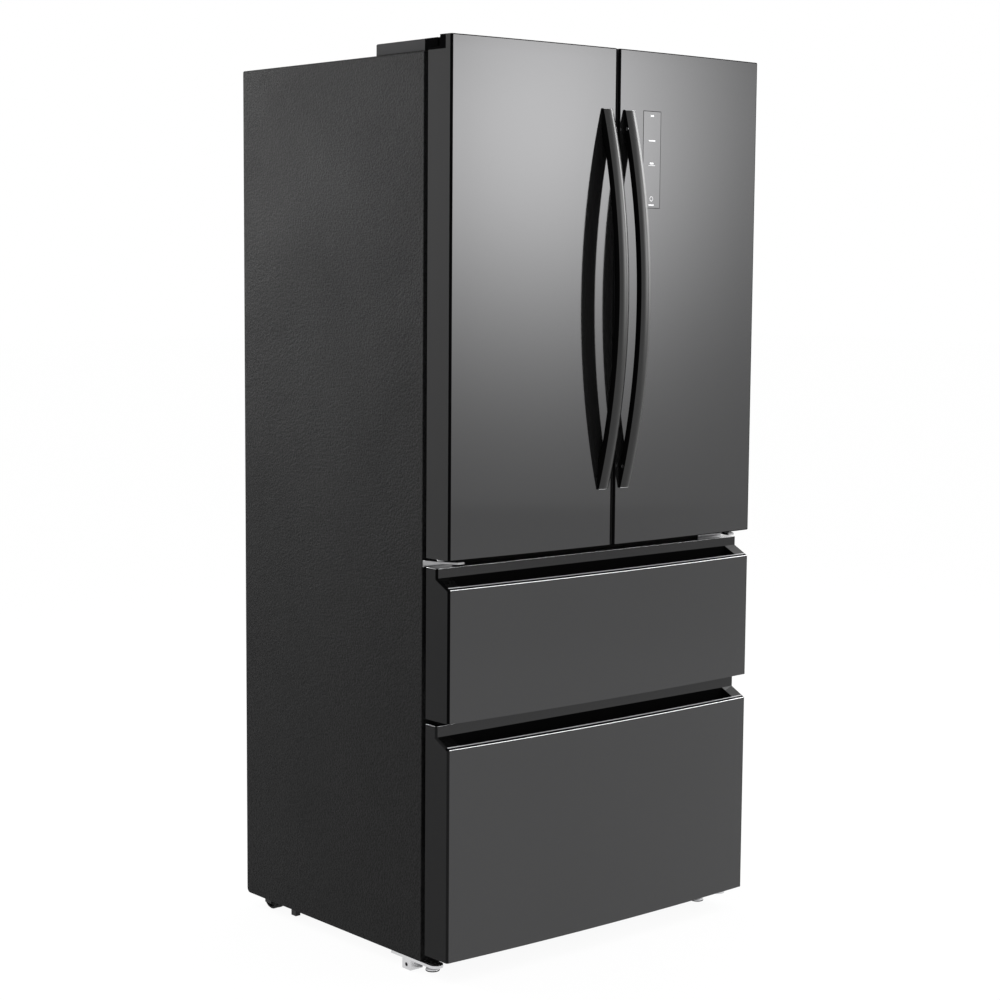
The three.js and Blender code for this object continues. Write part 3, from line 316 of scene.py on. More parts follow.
def make_finishes():
    for name, maker in (
        ("soft_mottle", mottle_effect), ("embossed_stipple", stipple_effect),
        ("brushed_grain", brushed_effect), ("moulded_peel", peel_effect),
    ):
        EFFECTS[name] = maker()
    c = colours()
    surface(
        "cabinet_paint", c.cabinet, 0.5, texture="embossed_stipple", grain=240.0, bump=1.0,
        relief=0.0010, tone=0.06, grain_tone=0.7, Specular_IOR_Level=0.068,
    )
    # The second copy of the front steel is darkened as painted shade on the strip set back above
    # each grip; the third is a brighter copy for the control panel.
    for name, bright in (("front_steel", 1.0), ("strip_steel_painted_shade", 0.56), ("panel_steel", 1.15)):
        surface(
            name, [part * bright for part in c.front], 0.07, metallic=0.9,
            texture="brushed_grain", grain=45.0, stretch=(1, 1, 40), bump=0.02,
            relief=0.00003, tone=0.02, sheen_spread=0.015, patches=2.5, grain_tone=0.02,
        )

    # Painted, moulded and foamed finishes. The first numbers are the colour, where it has
    # no name above, and the rest are the roughness, bump, relief, tone and gloss.
    for name, colour, roughness, bump, relief, tone, gloss in (
        ("front_side", c.front_side, 0.5, 0.12, 0.00006, 0.05, 0.02),
        # The next row is painted shade: the door sides' paint made darker for the drawer sides.
        ("drawer_side_painted_shade", c.drawer_side_painted_shade, 0.5, 0.12, 0.00006, 0.05, 0.02),
        # This black finish is also painted shade and painted dark reflection on the fronts' edges,
        # grips, lips and under the hinge covers.
        ("black_trim_and_painted_shade", c.trim, 0.5, 0.05, 0.0001, 0.1, 0.0),
        # The next row is no steel but a painted reflection, in dim grey, on the lower drawer's
        # rounded corners.
        ("corner_painted_reflection", c.corner, 0.4, 0.05, 0.0001, 0.05, 0.03),
        ("black_gloss", c.trim, 0.4, 0.05, 0.0001, 0.1, 0.0),
        ("panel_mark", (0.85, 0.85, 0.86), 0.4, 0.1, 0.0001, 0.05, 0.5),
        ("dark_plastic", c.trim, 0.5, 0.3, 0.00008, 0.2, 0.04),
        ("cover_plastic", c.cover, 0.55, 0.3, 0.0001, 0.08, 0.03),
        ("gasket_rubber", (0.002, 0.002, 0.002), 0.7, 0.2, 0.00008, 0.2, 0.02),
        ("compressor_paint", (0.006, 0.006, 0.0063), 0.4, 0.25, 0.0002, 0.15, 0.2),
        ("wheel_plastic", (0.004, 0.004, 0.0041), 0.55, 0.3, 0.0001, 0.15, 0.1),
        ("foam", (0.78, 0.70, 0.42), 0.9, 0.6, 0.0006, 0.15, 0.5),
    ):
        surface(
            name, colour, roughness, bump=bump, relief=relief, tone=tone,
            Specular_IOR_Level=gloss,
        )
    surface("panel_black", (0.0075, 0.0075, 0.0078), 0.1, bump=0.03, tone=0.05, sheen_spread=0.02)
    surface("white_liner", c.liner, 0.32, bump=0.15, relief=0.00012, tone=0.03, sheen_spread=0.05)
    surface(
        "galvanised_sheet", c.rear, 0.6, metallic=0.25, grain=90.0, tone=0.18, patches=40.0,
        grain_tone=0.1, Specular_IOR_Level=0.2,
    )
    surface(
        "clear_plastic", (0.90, 0.93, 0.94), 0.12, bump=0.08, tone=0.02,
        Transmission_Weight=0.85, IOR=1.45,
    )
    surface(
        "shelf_glass", (0.80, 0.92, 0.88), 0.04, bump=0.02, relief=0.00005, tone=0.02,
        sheen_spread=0.02, Transmission_Weight=0.92, IOR=1.5,
    )

    brushed = {"texture": "brushed_grain", "grain": 60.0, "stretch": (1, 30, 30)}
    metal = {"metallic": 1.0, **brushed}
    # A bright dull stripe: a painted highlight along the back of each drawer's lip.
    surface("lip_painted_highlight", c.lip_painted_highlight, 0.4, bump=0.05, relief=0.00003, tone=0.04, **brushed)
    # Bright steel for the edge roundings of the dark fronts and handles: its gloss is rendered, and
    # its brightness, far above the dark steel they belong to, is a painted highlight.
    surface("edge_highlight_steel", (0.72, 0.72, 0.73), 0.2, bump=0.04, tone=0.06, **metal)
    surface(
        "plain_steel", c.steel, 0.28, bump=0.12, relief=0.00006, tone=0.1, sheen_spread=0.08,
        patches=30.0, **metal,
    )
    surface(
        "hinge_steel", [part * 0.5 for part in c.steel], 0.3, bump=0.15, relief=0.00006,
        tone=0.2, sheen_spread=0.1, patches=60.0, **metal,
    )
    surface(
        "handle_gloss", c.handle, 0.28, texture="brushed_grain", grain=60.0,
        stretch=(30, 30, 1), bump=0.02, relief=0.00003, sheen_spread=0.03,
    )
    surface(
        "aluminium", (0.60, 0.61, 0.62), 0.35, metallic=1.0, texture="brushed_grain",
        grain=50.0, stretch=(25, 1, 25), bump=0.2, tone=0.12,
    )


# ---- Shaping ----


def near(first, second):
    """Whether two measures are the same, but for rounding."""
    return abs(first - second) < 1e-6


def steps(start, end, count):
    """Evenly spaced places from start to end, with both of them."""
    return [start + (end - start) * step / count for step in range(count + 1)]


def facing(bm, axis, sign):
    """Faces that look along an axis, forwards or backwards."""
    return [face for face in bm.faces if face.normal[axis] * sign > 0.9]


def only(items, kind):
    """The items of one kind: vertices, edges or faces."""
    return [item for item in items if isinstance(item, kind)]


def face_out(bm):
    """Turns every face's normal outwards."""
    bmesh.ops.recalc_face_normals(bm, faces=bm.faces[:])


def dress(faces, finish):
    """Gives faces a finish by its place in the piece's list."""
    for face in faces:
        face.material_index = finish


def block(low, high, bm=None):
    """A bmesh holding one box between two corners, or that box added to a bmesh."""
    bm = bm or bmesh.new()
    low, high = Vector(low), Vector(high)
    verts = bmesh.ops.create_cube(bm, size=1.0)["verts"]
    bmesh.ops.scale(bm, vec=high - low, verts=verts)
    bmesh.ops.translate(bm, vec=(low + high) / 2, verts=verts)
    return bm


def pushed(bm, faces, vector, keep=False):
    """Extrudes faces along a vector and returns the moved faces."""
    faces = list(faces)
    made = bmesh.ops.extrude_face_region(bm, geom=faces)["geom"]
    bmesh.ops.translate(bm, vec=vector, verts=only(made, bmesh.types.BMVert))
    if not keep:
        bmesh.ops.delete(bm, geom=faces, context="FACES_ONLY")
    return only(made, bmesh.types.BMFace)


def prism(points, vector, bm=None):
    """A solid drawn from a closed outline of points along a vector."""
    bm = bm or bmesh.new()
    face = bm.faces.new([bm.verts.new(point) for point in points])
    pushed(bm, [face], vector, keep=True)
    return bm


def sliced(bm, axis, places):
    """Cuts every face where a coordinate takes each of the given values."""
    normal = Vector([float(i == axis) for i in range(3)])
    for place in places:
        bmesh.ops.bisect_plane(
            bm, geom=bm.verts[:] + bm.edges[:] + bm.faces[:], dist=1e-6,
            plane_co=normal * place, plane_no=normal,
        )


def trimmed(bm, point, normal):
    """Removes what lies on the normal's side of a plane and closes the cut."""
    cut = bmesh.ops.bisect_plane(
        bm, geom=bm.verts[:] + bm.edges[:] + bm.faces[:], dist=1e-6,
        plane_co=point, plane_no=normal, clear_outer=True,
    )["geom_cut"]
    bmesh.ops.contextual_create(bm, geom=only(cut, bmesh.types.BMEdge))


def rounded(bm, edges, radius, segments, finish=None):
    """Rounds edges, and gives the rounding a finish by its place in the piece's list."""
    made = bmesh.ops.bevel(
        bm, geom=list(edges), offset=radius, offset_type="OFFSET", segments=segments,
        profile=0.5, affect="EDGES", material=-1, clamp_overlap=False,
    )["faces"]
    if finish is not None:
        dress(made, finish)


def clipped(bm, corners, radius, segments):
    """Rounds the corners of a flat sheet."""
    bmesh.ops.bevel(
        bm, geom=corners, offset=radius, segments=segments, profile=0.5, affect="VERTICES",
        material=-1,
    )


def edges_where(bm, test):
    """Edges of which both ends pass the test."""
    return [edge for edge in bm.edges if all(test(vert.co) for vert in edge.verts)]


def frame_of(low, high, axis, width):
    """A rectangular frame of even width, open along an axis."""
    bm = block(low, high)
    ends = [face for face in bm.faces if abs(face.normal[axis]) > 0.9]
    bmesh.ops.inset_region(bm, faces=ends, thickness=width, use_even_offset=True)
    inner = {edge for face in ends for edge in face.edges}
    bmesh.ops.delete(bm, geom=ends, context="FACES_ONLY")
    bmesh.ops.bridge_loops(bm, edges=list(inner))
    return bm


def lathe(profile, centre, axis, turns, bm=None):
    """A closed solid turned from (radius, height) points about an axis through a centre."""
    bm = bm or bmesh.new()
    axis, centre = Vector(axis), Vector(centre)
    out = axis.orthogonal().normalized()
    verts = [bm.verts.new(centre + out * r + axis * h) for r, h in profile]
    edges = [bm.edges.new(pair) for pair in zip(verts, verts[1:])]
    bmesh.ops.spin(
        bm, geom=verts + edges, cent=centre, axis=axis, dvec=(0, 0, 0), angle=2 * math.pi,
        steps=turns, use_merge=True, use_duplicate=False,
    )
    bmesh.ops.remove_doubles(bm, verts=bm.verts[:], dist=1e-6)
    face_out(bm)
    return bm


def soften(thing, width):
    """Adds the modifier that rounds a thing's small edges."""
    bevel = thing.modifiers.new("small_edges", "BEVEL")
    bevel.width = width
    bevel.segments = 2
    bevel.limit_method = "ANGLE"
    bevel.angle_limit = math.radians(35)
    return bevel


def piece(
    bm, name, body, slot, materials=None, stands_for=(), edge=0.0, sharp=40.0, true_faces=False,
):
    """Makes the object, gives it finishes and a body, and rounds its small edges when given a
    width.
    """
    face_out(bm)
    mesh = bpy.data.meshes.new(name)
    bm.to_mesh(mesh)
    bm.free()
    mesh.polygons.foreach_set("use_smooth", [True] * len(mesh.polygons))
    thing = bpy.data.objects.new(name, mesh)
    bpy.context.scene.collection.objects.link(thing)
    for material in materials or [slot]:
        mesh.materials.append(FINISHES[material])
    if edge:
        soften(thing, edge).harden_normals = True
    else:
        mesh.set_sharp_from_angle(angle=math.radians(sharp))
    if true_faces:
        normals = thing.modifiers.new("true_faces", "WEIGHTED_NORMAL")
        normals.weight = 100
        normals.keep_sharp = True
    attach(thing, body)
    if stands_for:
        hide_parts(*stands_for)


# ---- Fronts ----


def front_plane(high):
    """The plane of the fronts' outer corners."""
    return high.y - sizes().door_thickness


def bow(x, half_width):
    """How far a front stands ahead of its outer corners at x."""
    return sizes().crown * (1 - (x / half_width) ** 2)


def bowed(bm, half_width, plane, reach):
    """Bows the front out towards the middle, fading to nothing at reach behind the plane."""
    for vert in bm.verts:
        depth = max(0.0, vert.co.y - plane)
        fade = 1.0 if depth <= sizes().corner_radius + 1e-5 else max(0.0, 1 - depth / reach)
        vert.co.y -= bow(vert.co.x, half_width) * fade


def columns(low, high, count):
    """Upright cuts between a front's rounded corners, so that it can bow."""
    radius = sizes().corner_radius
    return steps(low.x + radius, high.x - radius, count)[1:-1]


def round_front_corners(bm, behind, low, high, finish):
    """Rounds the upright edges at the two ends of a front."""
    ends = []
    for x in (low.x, high.x):
        ends += edges_where(bm, lambda co: near(co.x, x) and co.y < behind + 1e-6)
    rounded(bm, ends, sizes().corner_radius, 6, finish)


def door_skin(hand):
    """A hollow door shell with a notch over its top hinge."""
    s = sizes()
    side = SIDE[hand]
    low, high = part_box(f"{hand}_door_panel")
    plane = front_plane(high)
    outer = max(abs(low.x), abs(high.x))
    notch_floor = high.z - s.notch_depth
    notch_x = side * (outer - s.notch_width)
    notch_y = plane + s.notch_lip
    bm = block((low.x, plane, low.z), (high.x, high.y, notch_floor))
    # The upright corners are rounded in the black finish: a painted dark reflection.
    round_front_corners(bm, plane, low, high, 1)
    back = facing(bm, 1, 1)
    bmesh.ops.inset_region(bm, faces=back, thickness=s.door_wall, use_even_offset=True)
    for vert in {vert for face in back for vert in face.verts}:
        lower = vert.co.z < (low.z + notch_floor) / 2
        vert.co.z = low.z + s.door_cap if lower else high.z - s.door_cap
    pushed(bm, back, (0, -(high.y - plane - s.door_skin), 0))
    sliced(bm, 0, columns(low, high, 12) + [notch_x])
    sliced(bm, 1, [notch_y])
    raised = []
    for face in facing(bm, 2, 1):
        middle = face.calc_center_median()
        over_hinge = side * middle.x > side * notch_x and middle.y > notch_y
        if near(middle.z, notch_floor) and not over_hinge:
            raised.append(face)
    pushed(bm, raised, UP * s.notch_depth)
    for face in bm.faces:
        face.normal_update()
    bmesh.ops.dissolve_limit(
        bm, angle_limit=math.radians(0.5), verts=bm.verts[:], edges=bm.edges[:],
        delimit={"MATERIAL"},
    )
    # The top and bottom front edges are rounded in the black finish: a painted dark reflection.
    reach = plane + s.corner_radius + 1e-5
    rim = []
    for z in (high.z, low.z):
        rim += edges_where(bm, lambda co: co.y < reach and near(co.z, z))
    rim = [edge for edge in rim if any(abs(face.normal.z) < 0.1 for face in edge.link_faces)]
    rounded(bm, rim, s.edge_radius, 3, 1)
    cap_front, cap_floor = plane + s.notch_lip / 2, notch_floor - s.cap_show
    sliced(bm, 0, columns(low, high, 12))
    sliced(bm, 1, [cap_front])
    sliced(bm, 2, [cap_floor])
    bowed(bm, outer, plane, s.notch_lip)
    for face in bm.faces:
        middle = face.calc_center_median()
        if middle.x * side > outer - 1e-4 and middle.y > cap_front and middle.z > cap_floor:
            face.material_index = 1
        elif face.material_index == 0 and face.normal.y > -0.25:
            face.material_index = 2
    piece(
        bm, f"{hand}_door_skin", f"{hand}_door", "front_steel",
        ["front_steel", "black_trim_and_painted_shade", "front_side"], [f"{hand}_door_panel"], true_faces=True,
    )


def drawer_skin(name):
    """A drawer's front with a folded lip, a recessed grip behind it and a strip above."""
    s = sizes()
    upper = name.startswith("upper")
    low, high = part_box(f"{name}_front")
    plane = front_plane(high)
    strip_bottom = high.z - (s.upper_strip if upper else s.lower_strip)
    lip = strip_bottom - s.grip_rise
    lip_back = plane + s.grip_lip
    behind = plane + s.grip_set_back
    outline = [
        (low.x, plane, low.z), (low.x, high.y, low.z), (low.x, high.y, high.z),
        (low.x, behind, high.z), (low.x, behind, strip_bottom), (low.x, plane, lip),
    ]
    bm = prism(outline, (high.x - low.x, 0, 0))
    face_out(bm)
    grip = high.x - s.grip_end
    # The upright corners take finish 5, a painted dark reflection: black on the upper drawer and
    # dim grey on the lower.
    round_front_corners(bm, behind, low, high, 5)
    near_ends = [grip - 0.045, grip - 0.002]
    sliced(bm, 0, columns(low, high, 24))
    sliced(bm, 0, [-grip, grip] + near_ends + [-place for place in near_ends])
    sliced(bm, 1, [lip_back - s.lip_painted_highlight, lip_back])
    slope = []
    for face in bm.faces:
        middle = face.calc_center_median()
        sloping = face.normal.z > 0.3 and face.normal.y < -0.3
        if sloping and abs(middle.x) < grip and middle.y > lip_back:
            slope.append(face)
    # The grip's floor and, below, its upright walls are painted black: painted shade in the recess.
    dress(pushed(bm, slope, UP * -s.grip_depth), 1)
    for face in bm.faces:
        face.normal_update()
        middle = face.calc_center_median()
        in_grip = (
            abs(middle.x) <= grip + 1e-5 and lip_back - 1e-5 <= middle.y <= behind + 1e-5
            and lip - s.grip_depth - 0.002 < middle.z < strip_bottom - 0.004
        )
        if in_grip and abs(face.normal.z) < 0.2:
            face.material_index = 1
    # The lip's sloped top is painted black, a painted dark reflection, and a band along its back is
    # a painted highlight.
    for face in bm.faces:
        middle = face.calc_center_median()
        if plane + 1e-4 < middle.y < lip_back and face.normal.z > 0.3:
            on_painted_highlight = middle.y > lip_back - s.lip_painted_highlight and abs(middle.x) < high.x - s.corner_radius
            face.material_index = 6 if on_painted_highlight else 1
    # The lip's edges and the top edges below are rounded in the bright edge steel, partly a painted
    # highlight.
    rims = edges_where(bm, lambda co: near(co.y, plane) and near(co.z, lip))
    rims += edges_where(
        bm, lambda co: near(co.y, lip_back) and co.z > lip and abs(co.x) < grip + 1e-5
    )
    rounded(bm, rims, s.lip_edge, 2, 4)
    top = edges_where(bm, lambda co: near(co.y, behind) and near(co.z, high.z))
    for x in (low.x, high.x):
        top += edges_where(bm, lambda co: near(co.x, x) and near(co.z, high.z))
    rounded(bm, top, s.small_edge / 2, 2, 4)
    bm.normal_update()
    bowed(bm, high.x, plane, s.grip_set_back)
    # The sides take the darker side paint and the strip the darker steel: both are painted shade.
    for face in bm.faces:
        if face.material_index == 0 and face.normal.y > -0.25 and face.normal.z < 0.3:
            face.material_index = 2
        if face.material_index == 0 and face.calc_center_median().y > lip_back:
            face.material_index = 3
    piece(
        bm, f"{name}_skin", name, "front_steel",
        [
            "front_steel", "black_trim_and_painted_shade", "drawer_side_painted_shade", "strip_steel_painted_shade", "edge_highlight_steel",
            "black_trim_and_painted_shade" if upper else "corner_painted_reflection", "lip_painted_highlight",
        ],
        [f"{name}_front"], sharp=50, true_faces=True,
    )


def bellows(name, body, low, high, width):
    """A hollow rubber seal: an upright ring with two folds round its outside."""
    bm = frame_of(low, high, 1, width)
    depth = high.y - low.y
    sliced(bm, 1, [low.y + depth * share for share in (0.2, 0.35, 0.5, 0.65, 0.8)])
    middle = (low + high) / 2
    for vert in bm.verts:
        share = (vert.co.y - low.y) / depth
        outside = abs(vert.co.x - middle.x) > high.x - middle.x - 1e-6 or (
            abs(vert.co.z - middle.z) > high.z - middle.z - 1e-6
        )
        if 0.3 < share < 0.4 or 0.6 < share < 0.7:
            fold = -0.003 if outside else 0.003
            vert.co.x += math.copysign(1.0, vert.co.x - middle.x) * fold
            vert.co.z += math.copysign(1.0, vert.co.z - middle.z) * fold
    piece(bm, f"{name}_seal", body, "gasket_rubber", stands_for=[name], edge=0.0006)


# ---- Handles ----


def bow_handle(hand):
    """A bar bent in an arc, with a domed dark front, and its set screws."""
    s = sizes()
    side = SIDE[hand]
    low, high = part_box(f"{hand}_handle")
    door_low, door_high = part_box(f"{hand}_door_panel")
    x = (low.x + high.x) / 2
    outer = max(abs(door_low.x), abs(door_high.x))
    surface_y = front_plane(door_high) - bow(x, outer)
    reach = s.handle_stand_off + s.handle_thickness
    half = (high.z - low.z) / 2
    sagitta = reach - s.handle_end_proud
    radius = (half ** 2 + sagitta ** 2) / (2 * sagitta)
    centre = Vector((x, surface_y - reach + radius, (high.z + low.z) / 2))
    front = surface_y - reach
    half_width = s.handle_width / 2

    # The bar's section, level with its middle, is turned about the arc's centre.
    bm = block(
        (x - half_width, front + s.handle_dome, centre.z),
        (x + half_width, front + s.handle_thickness, centre.z + 0.01),
    )
    below = facing(bm, 2, -1)
    bmesh.ops.delete(bm, geom=[face for face in bm.faces if face not in below], context="FACES")
    clipped(bm, bm.verts[:], s.handle_edge, 3)
    ahead = edges_where(bm, lambda co: near(co.y, front + s.handle_dome))
    bmesh.ops.subdivide_edges(bm, edges=ahead, cuts=15)
    for vert in bm.verts:
        share = (vert.co.x - x) / (half_width - s.handle_edge)
        if abs(share) <= 1 and vert.co.y < front + s.handle_dome + 1e-6:
            vert.co.y -= s.handle_dome * (1 - share ** 2)
    sweep = math.asin(half / radius) * 1.04  # past both ends, which are trimmed below
    bmesh.ops.rotate(bm, verts=bm.verts[:], cent=centre, matrix=Matrix.Rotation(-sweep, 3, "X"))
    bmesh.ops.spin(
        bm, geom=bm.faces[:], cent=centre, axis=(1, 0, 0), dvec=(0, 0, 0), angle=2 * sweep,
        steps=72, use_merge=False, use_duplicate=False,
    )
    bmesh.ops.remove_doubles(bm, verts=bm.verts[:], dist=1e-6)
    face_out(bm)
    trimmed(bm, (0, 0, high.z), (0, 0, 1))
    trimmed(bm, (0, 0, low.z), (0, 0, -1))
    trimmed(bm, (0, surface_y + 0.0004, 0), (0, 1, 0))
    face_out(bm)
    for face in bm.faces:
        outward = face.calc_center_median() - centre
        outward.x = 0
        ahead_of_middle = outward.length > radius - s.handle_dome - 0.0004
        if ahead_of_middle and abs(face.normal.x) < 0.6 and abs(face.normal.z) < 0.9:
            face.material_index = 1
    # The front's ends are rounded in the bright edge steel, partly a painted highlight.
    front_ends = [
        edge for edge in bm.edges
        if len(edge.link_faces) == 2
        and any(face.material_index == 1 for face in edge.link_faces)
        and any(abs(face.normal.z) > 0.99 for face in edge.link_faces)
    ]
    rounded(bm, front_ends, 0.001, 2, 2)
    piece(
        bm, f"{hand}_bow_handle", f"{hand}_door", "black_gloss",
        ["black_gloss", "handle_gloss", "edge_highlight_steel"], [f"{hand}_handle"], sharp=50,
    )

    screws = bmesh.new()
    dished = [
        (0, -0.0006), (0.0012, -0.0006), (0.0012, 0.0001), (0.0026, 0.0003), (0.0034, 0.0002),
        (0.0034, -0.002), (0, -0.002),
    ]
    for z in (high.z - 0.037, low.z + 0.0435):
        place = (x - side * half_width, surface_y - 0.010, z)
        lathe(dished, place, (-side, 0, 0), 20, screws)
    piece(screws, f"{hand}_handle_screws", f"{hand}_door", "plain_steel")


# ---- Control panel ----


def on_front(x, door_high, proud):
    """How far forward a door's bowed face stands at x, and a little proud of it."""
    return front_plane(door_high) - bow(x, door_high.x) - proud


def panel_plate():
    """The panel's plate, flush with the bowed door, inside a thin dark border."""
    low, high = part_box("control_panel")
    door_low, door_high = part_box("right_door_panel")
    bm = block(low, (high.x, low.y + 0.0016, high.z))
    border = bmesh.ops.inset_region(
        bm, faces=facing(bm, 1, -1), thickness=0.0011, use_even_offset=True
    )
    dress(border["faces"], 1)
    sliced(bm, 0, steps(low.x, high.x, 6)[1:-1])
    for vert in bm.verts:
        ahead = vert.co.y < low.y + 1e-6
        vert.co.y = on_front(vert.co.x, door_high, 0.0002 if ahead else -0.0014)
    piece(
        bm, "panel_plate", "right_door", "panel_black", ["panel_steel", "black_trim_and_painted_shade"],
        ["control_panel"],
    )


def panel_marks():
    """Plain bars and a ring that stand for the panel's lamps and button."""
    low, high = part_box("control_panel")
    door_low, door_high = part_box("right_door_panel")
    middle = (low.x + high.x) / 2
    bm = bmesh.new()
    for z, width, tall in (
        (high.z - 0.0095, 0.0085, 0.0030), (high.z - 0.0575, 0.0180, 0.0022),
        (high.z - 0.1015, 0.0100, 0.0034), (high.z - 0.1055, 0.0180, 0.0008),
        (low.z + 0.0065, 0.0150, 0.0022),
    ):
        corner = Vector((width / 2, 0, tall / 2))
        place = Vector((middle, 0, z))
        block(place - corner, place + corner + Vector((0, 0.0004, 0)), bm)
    for vert in bm.verts:
        ahead = vert.co.y < 0.0002
        vert.co.y = on_front(vert.co.x, door_high, 0.0004 if ahead else 0.0)
    ring = [
        (0.0046, -0.0004), (0.0046, 0.0002), (0.0036, 0.0002), (0.0036, -0.0004),
        (0.0046, -0.0004),
    ]
    place = (middle, on_front(middle, door_high, 0.0), low.z + 0.0185)
    lathe(ring, place, (0, 1, 0), 32, bm)
    piece(bm, "panel_marks", "right_door", "panel_black", ["panel_mark"])


# ---- Cabinet ----


def cabinet_wrap():
    """The folded sheet over the cabinet's top and sides."""
    s = sizes()
    low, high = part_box("outer_wrap")
    bm = block(low, high)
    ridge = edges_where(bm, lambda co: co.z > high.z - 1e-6)
    ridge = [edge for edge in ridge if near(edge.verts[0].co.x, edge.verts[1].co.x)]
    rounded(bm, ridge, s.wrap_bend, 6)
    open_faces = [
        face for face in bm.faces if abs(face.normal.y) > 0.9 or face.normal.z < -0.9
    ]
    bmesh.ops.delete(bm, geom=open_faces, context="FACES")
    face_out(bm)
    bmesh.ops.solidify(bm, geom=bm.faces[:], thickness=s.sheet)
    rear = edges_where(bm, lambda co: co.y > high.y - 1e-6 and co.z < low.z + 1e-6)
    rounded(bm, rear, s.rear_corner, 5)
    piece(
        bm, "cabinet_wrap", "cabinet", "cabinet_paint", None, ["outer_wrap"], edge=0.0005,
        true_faces=True,
    )


def hinge_cover(hand):
    """A grey moulded cap with soft top edges, with a black band painted along its foot as its
    shadow gap.
    """
    s = sizes()
    low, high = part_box(f"hinge_cover_{hand}")
    bm = block(low, high)
    rounded(bm, edges_where(bm, lambda co: co.z > high.z - 1e-6), s.cover_edge, 4)
    bmesh.ops.delete(bm, geom=facing(bm, 2, -1), context="FACES_ONLY")
    face_out(bm)
    bmesh.ops.solidify(bm, geom=bm.faces[:], thickness=s.cover_wall)
    # Below this height the cap is painted black: a painted shadow gap.
    shadow_band_top = low.z + s.cover_shadow_band
    sliced(bm, 2, [shadow_band_top])
    dress([face for face in bm.faces if face.calc_center_median().z < shadow_band_top], 1)
    piece(
        bm, f"{hand}_hinge_cap", "cabinet", "cover_plastic", ["cover_plastic", "black_trim_and_painted_shade"],
        [f"hinge_cover_{hand}"],
    )


def levelling_foot(hand):
    """A threaded steel foot on a thin rubber pad."""
    pad = sizes().pad_height
    node = f"levelling_foot_{hand}"
    low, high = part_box(node)
    radius = (high.x - low.x) / 2
    stem = 0.0049
    root = stem - 0.0007
    tip = high.z - low.z - 0.0002
    profile = [
        (0, 0), (radius - 0.0008, 0), (radius, 0.0008), (radius, pad), (radius - 0.0004, pad),
        (radius - 0.0004, 0.0044), (radius - 0.001, 0.0050), (0.008, 0.0050),
    ]
    profile += [(root if turn % 2 else stem, 0.0056 + 0.0011 * turn) for turn in range(20)]
    middle = ((low.x + high.x) / 2, (low.y + high.y) / 2, low.z)
    bm = lathe(profile + [(root, tip), (0, tip)], middle, UP, 40)
    steel = low.z + pad - 1e-5
    dress([face for face in bm.faces if face.calc_center_median().z > steel], 1)
    piece(
        bm, f"{hand}_levelling_foot", NODE_BODY[node], "dark_plastic",
        ["dark_plastic", "plain_steel"], [node], sharp=50,
    )


def rear_roller(hand):
    """A roller with a grooved tread, rims and a hub."""
    node = f"rear_roller_{hand}"
    low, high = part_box(node)
    half = (high.x - low.x) / 2
    radius = (high.z - low.z) / 2
    bore, hub, web = 0.0044, 0.010, half - 0.005
    side = [
        (bore, half), (hub - 0.001, half), (hub, half - 0.001), (hub, web),
        (radius - 0.006, web), (radius - 0.005, half - 0.001),
        (radius - 0.002, half - 0.0005), (radius, half - 0.003), (radius, 0.003),
        (radius - 0.0015, 0.002),
    ]
    profile = side + [(r, -h) for r, h in reversed(side)] + [side[0]]
    bm = lathe(profile, (low + high) / 2, (1, 0, 0), 48)
    piece(bm, f"{hand}_rear_roller", NODE_BODY[node], "wheel_plastic", None, [node])


def shelf(name):
    """A glass pane in a moulded rim, with a trim along its front."""
    s = sizes()
    body = NODE_BODY[name]
    low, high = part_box(name)
    front = low.y + s.shelf_trim
    bottom = high.z - s.shelf_pane
    rim = frame_of((low.x, front, bottom), high, 2, s.shelf_rim)
    piece(rim, f"{name}_rim", body, "white_liner", None, [name], edge=0.0008)
    gap = s.shelf_rim - 0.0004
    play = Vector((gap, gap, 0.0006))
    pane = block(Vector((low.x, front, bottom)) + play, high - play)
    piece(pane, f"{name}_pane", body, "shelf_glass", edge=0.0006)
    inset = 0.009
    trim = block((low.x + inset, low.y, low.z), (high.x - inset, front - 0.0002, high.z))
    rounded(trim, edges_where(trim, lambda co: co.y < low.y + 1e-6), 0.003, 4)
    piece(trim, f"{name}_trim", body, "aluminium", edge=0.0004)


def slotted(bm, low, high, rows):
    """Cuts rows of upright slots through the sides of a tub."""
    margin, spacing, open_share = 0.03, 0.024, 0.4
    bottom, bridge = 0.02, 0.01
    tall = (high.z - low.z - bottom - margin) / rows
    starts, ends, pitches = [], [], []
    for axis in (0, 1):
        start, end = low[axis] + margin, high[axis] - margin
        count = int((end - start) / spacing)
        pitch = (end - start) / count
        sliced(bm, axis, [start + pitch * step for step in range(count + 1)])
        sliced(bm, axis, [start + pitch * (step + open_share) for step in range(count)])
        starts.append(start)
        ends.append(end)
        pitches.append(pitch)
    for row in range(rows):
        foot = low.z + bottom + tall * row
        sliced(bm, 2, [foot, foot + tall - bridge])
    slots = []
    for face in bm.faces:
        middle = face.calc_center_median()
        axis = 1 if abs(face.normal.x) > 0.9 else 0
        if abs(face.normal.z) < 0.1 and starts[axis] < middle[axis] < ends[axis]:
            across = (middle[axis] - starts[axis]) / pitches[axis] % 1.0
            up = (middle.z - low.z - bottom) / tall
            if across < open_share and 0 < up < rows and up % 1.0 < 1 - bridge / tall:
                slots.append(face)
    bmesh.ops.delete(bm, geom=slots, context="FACES")


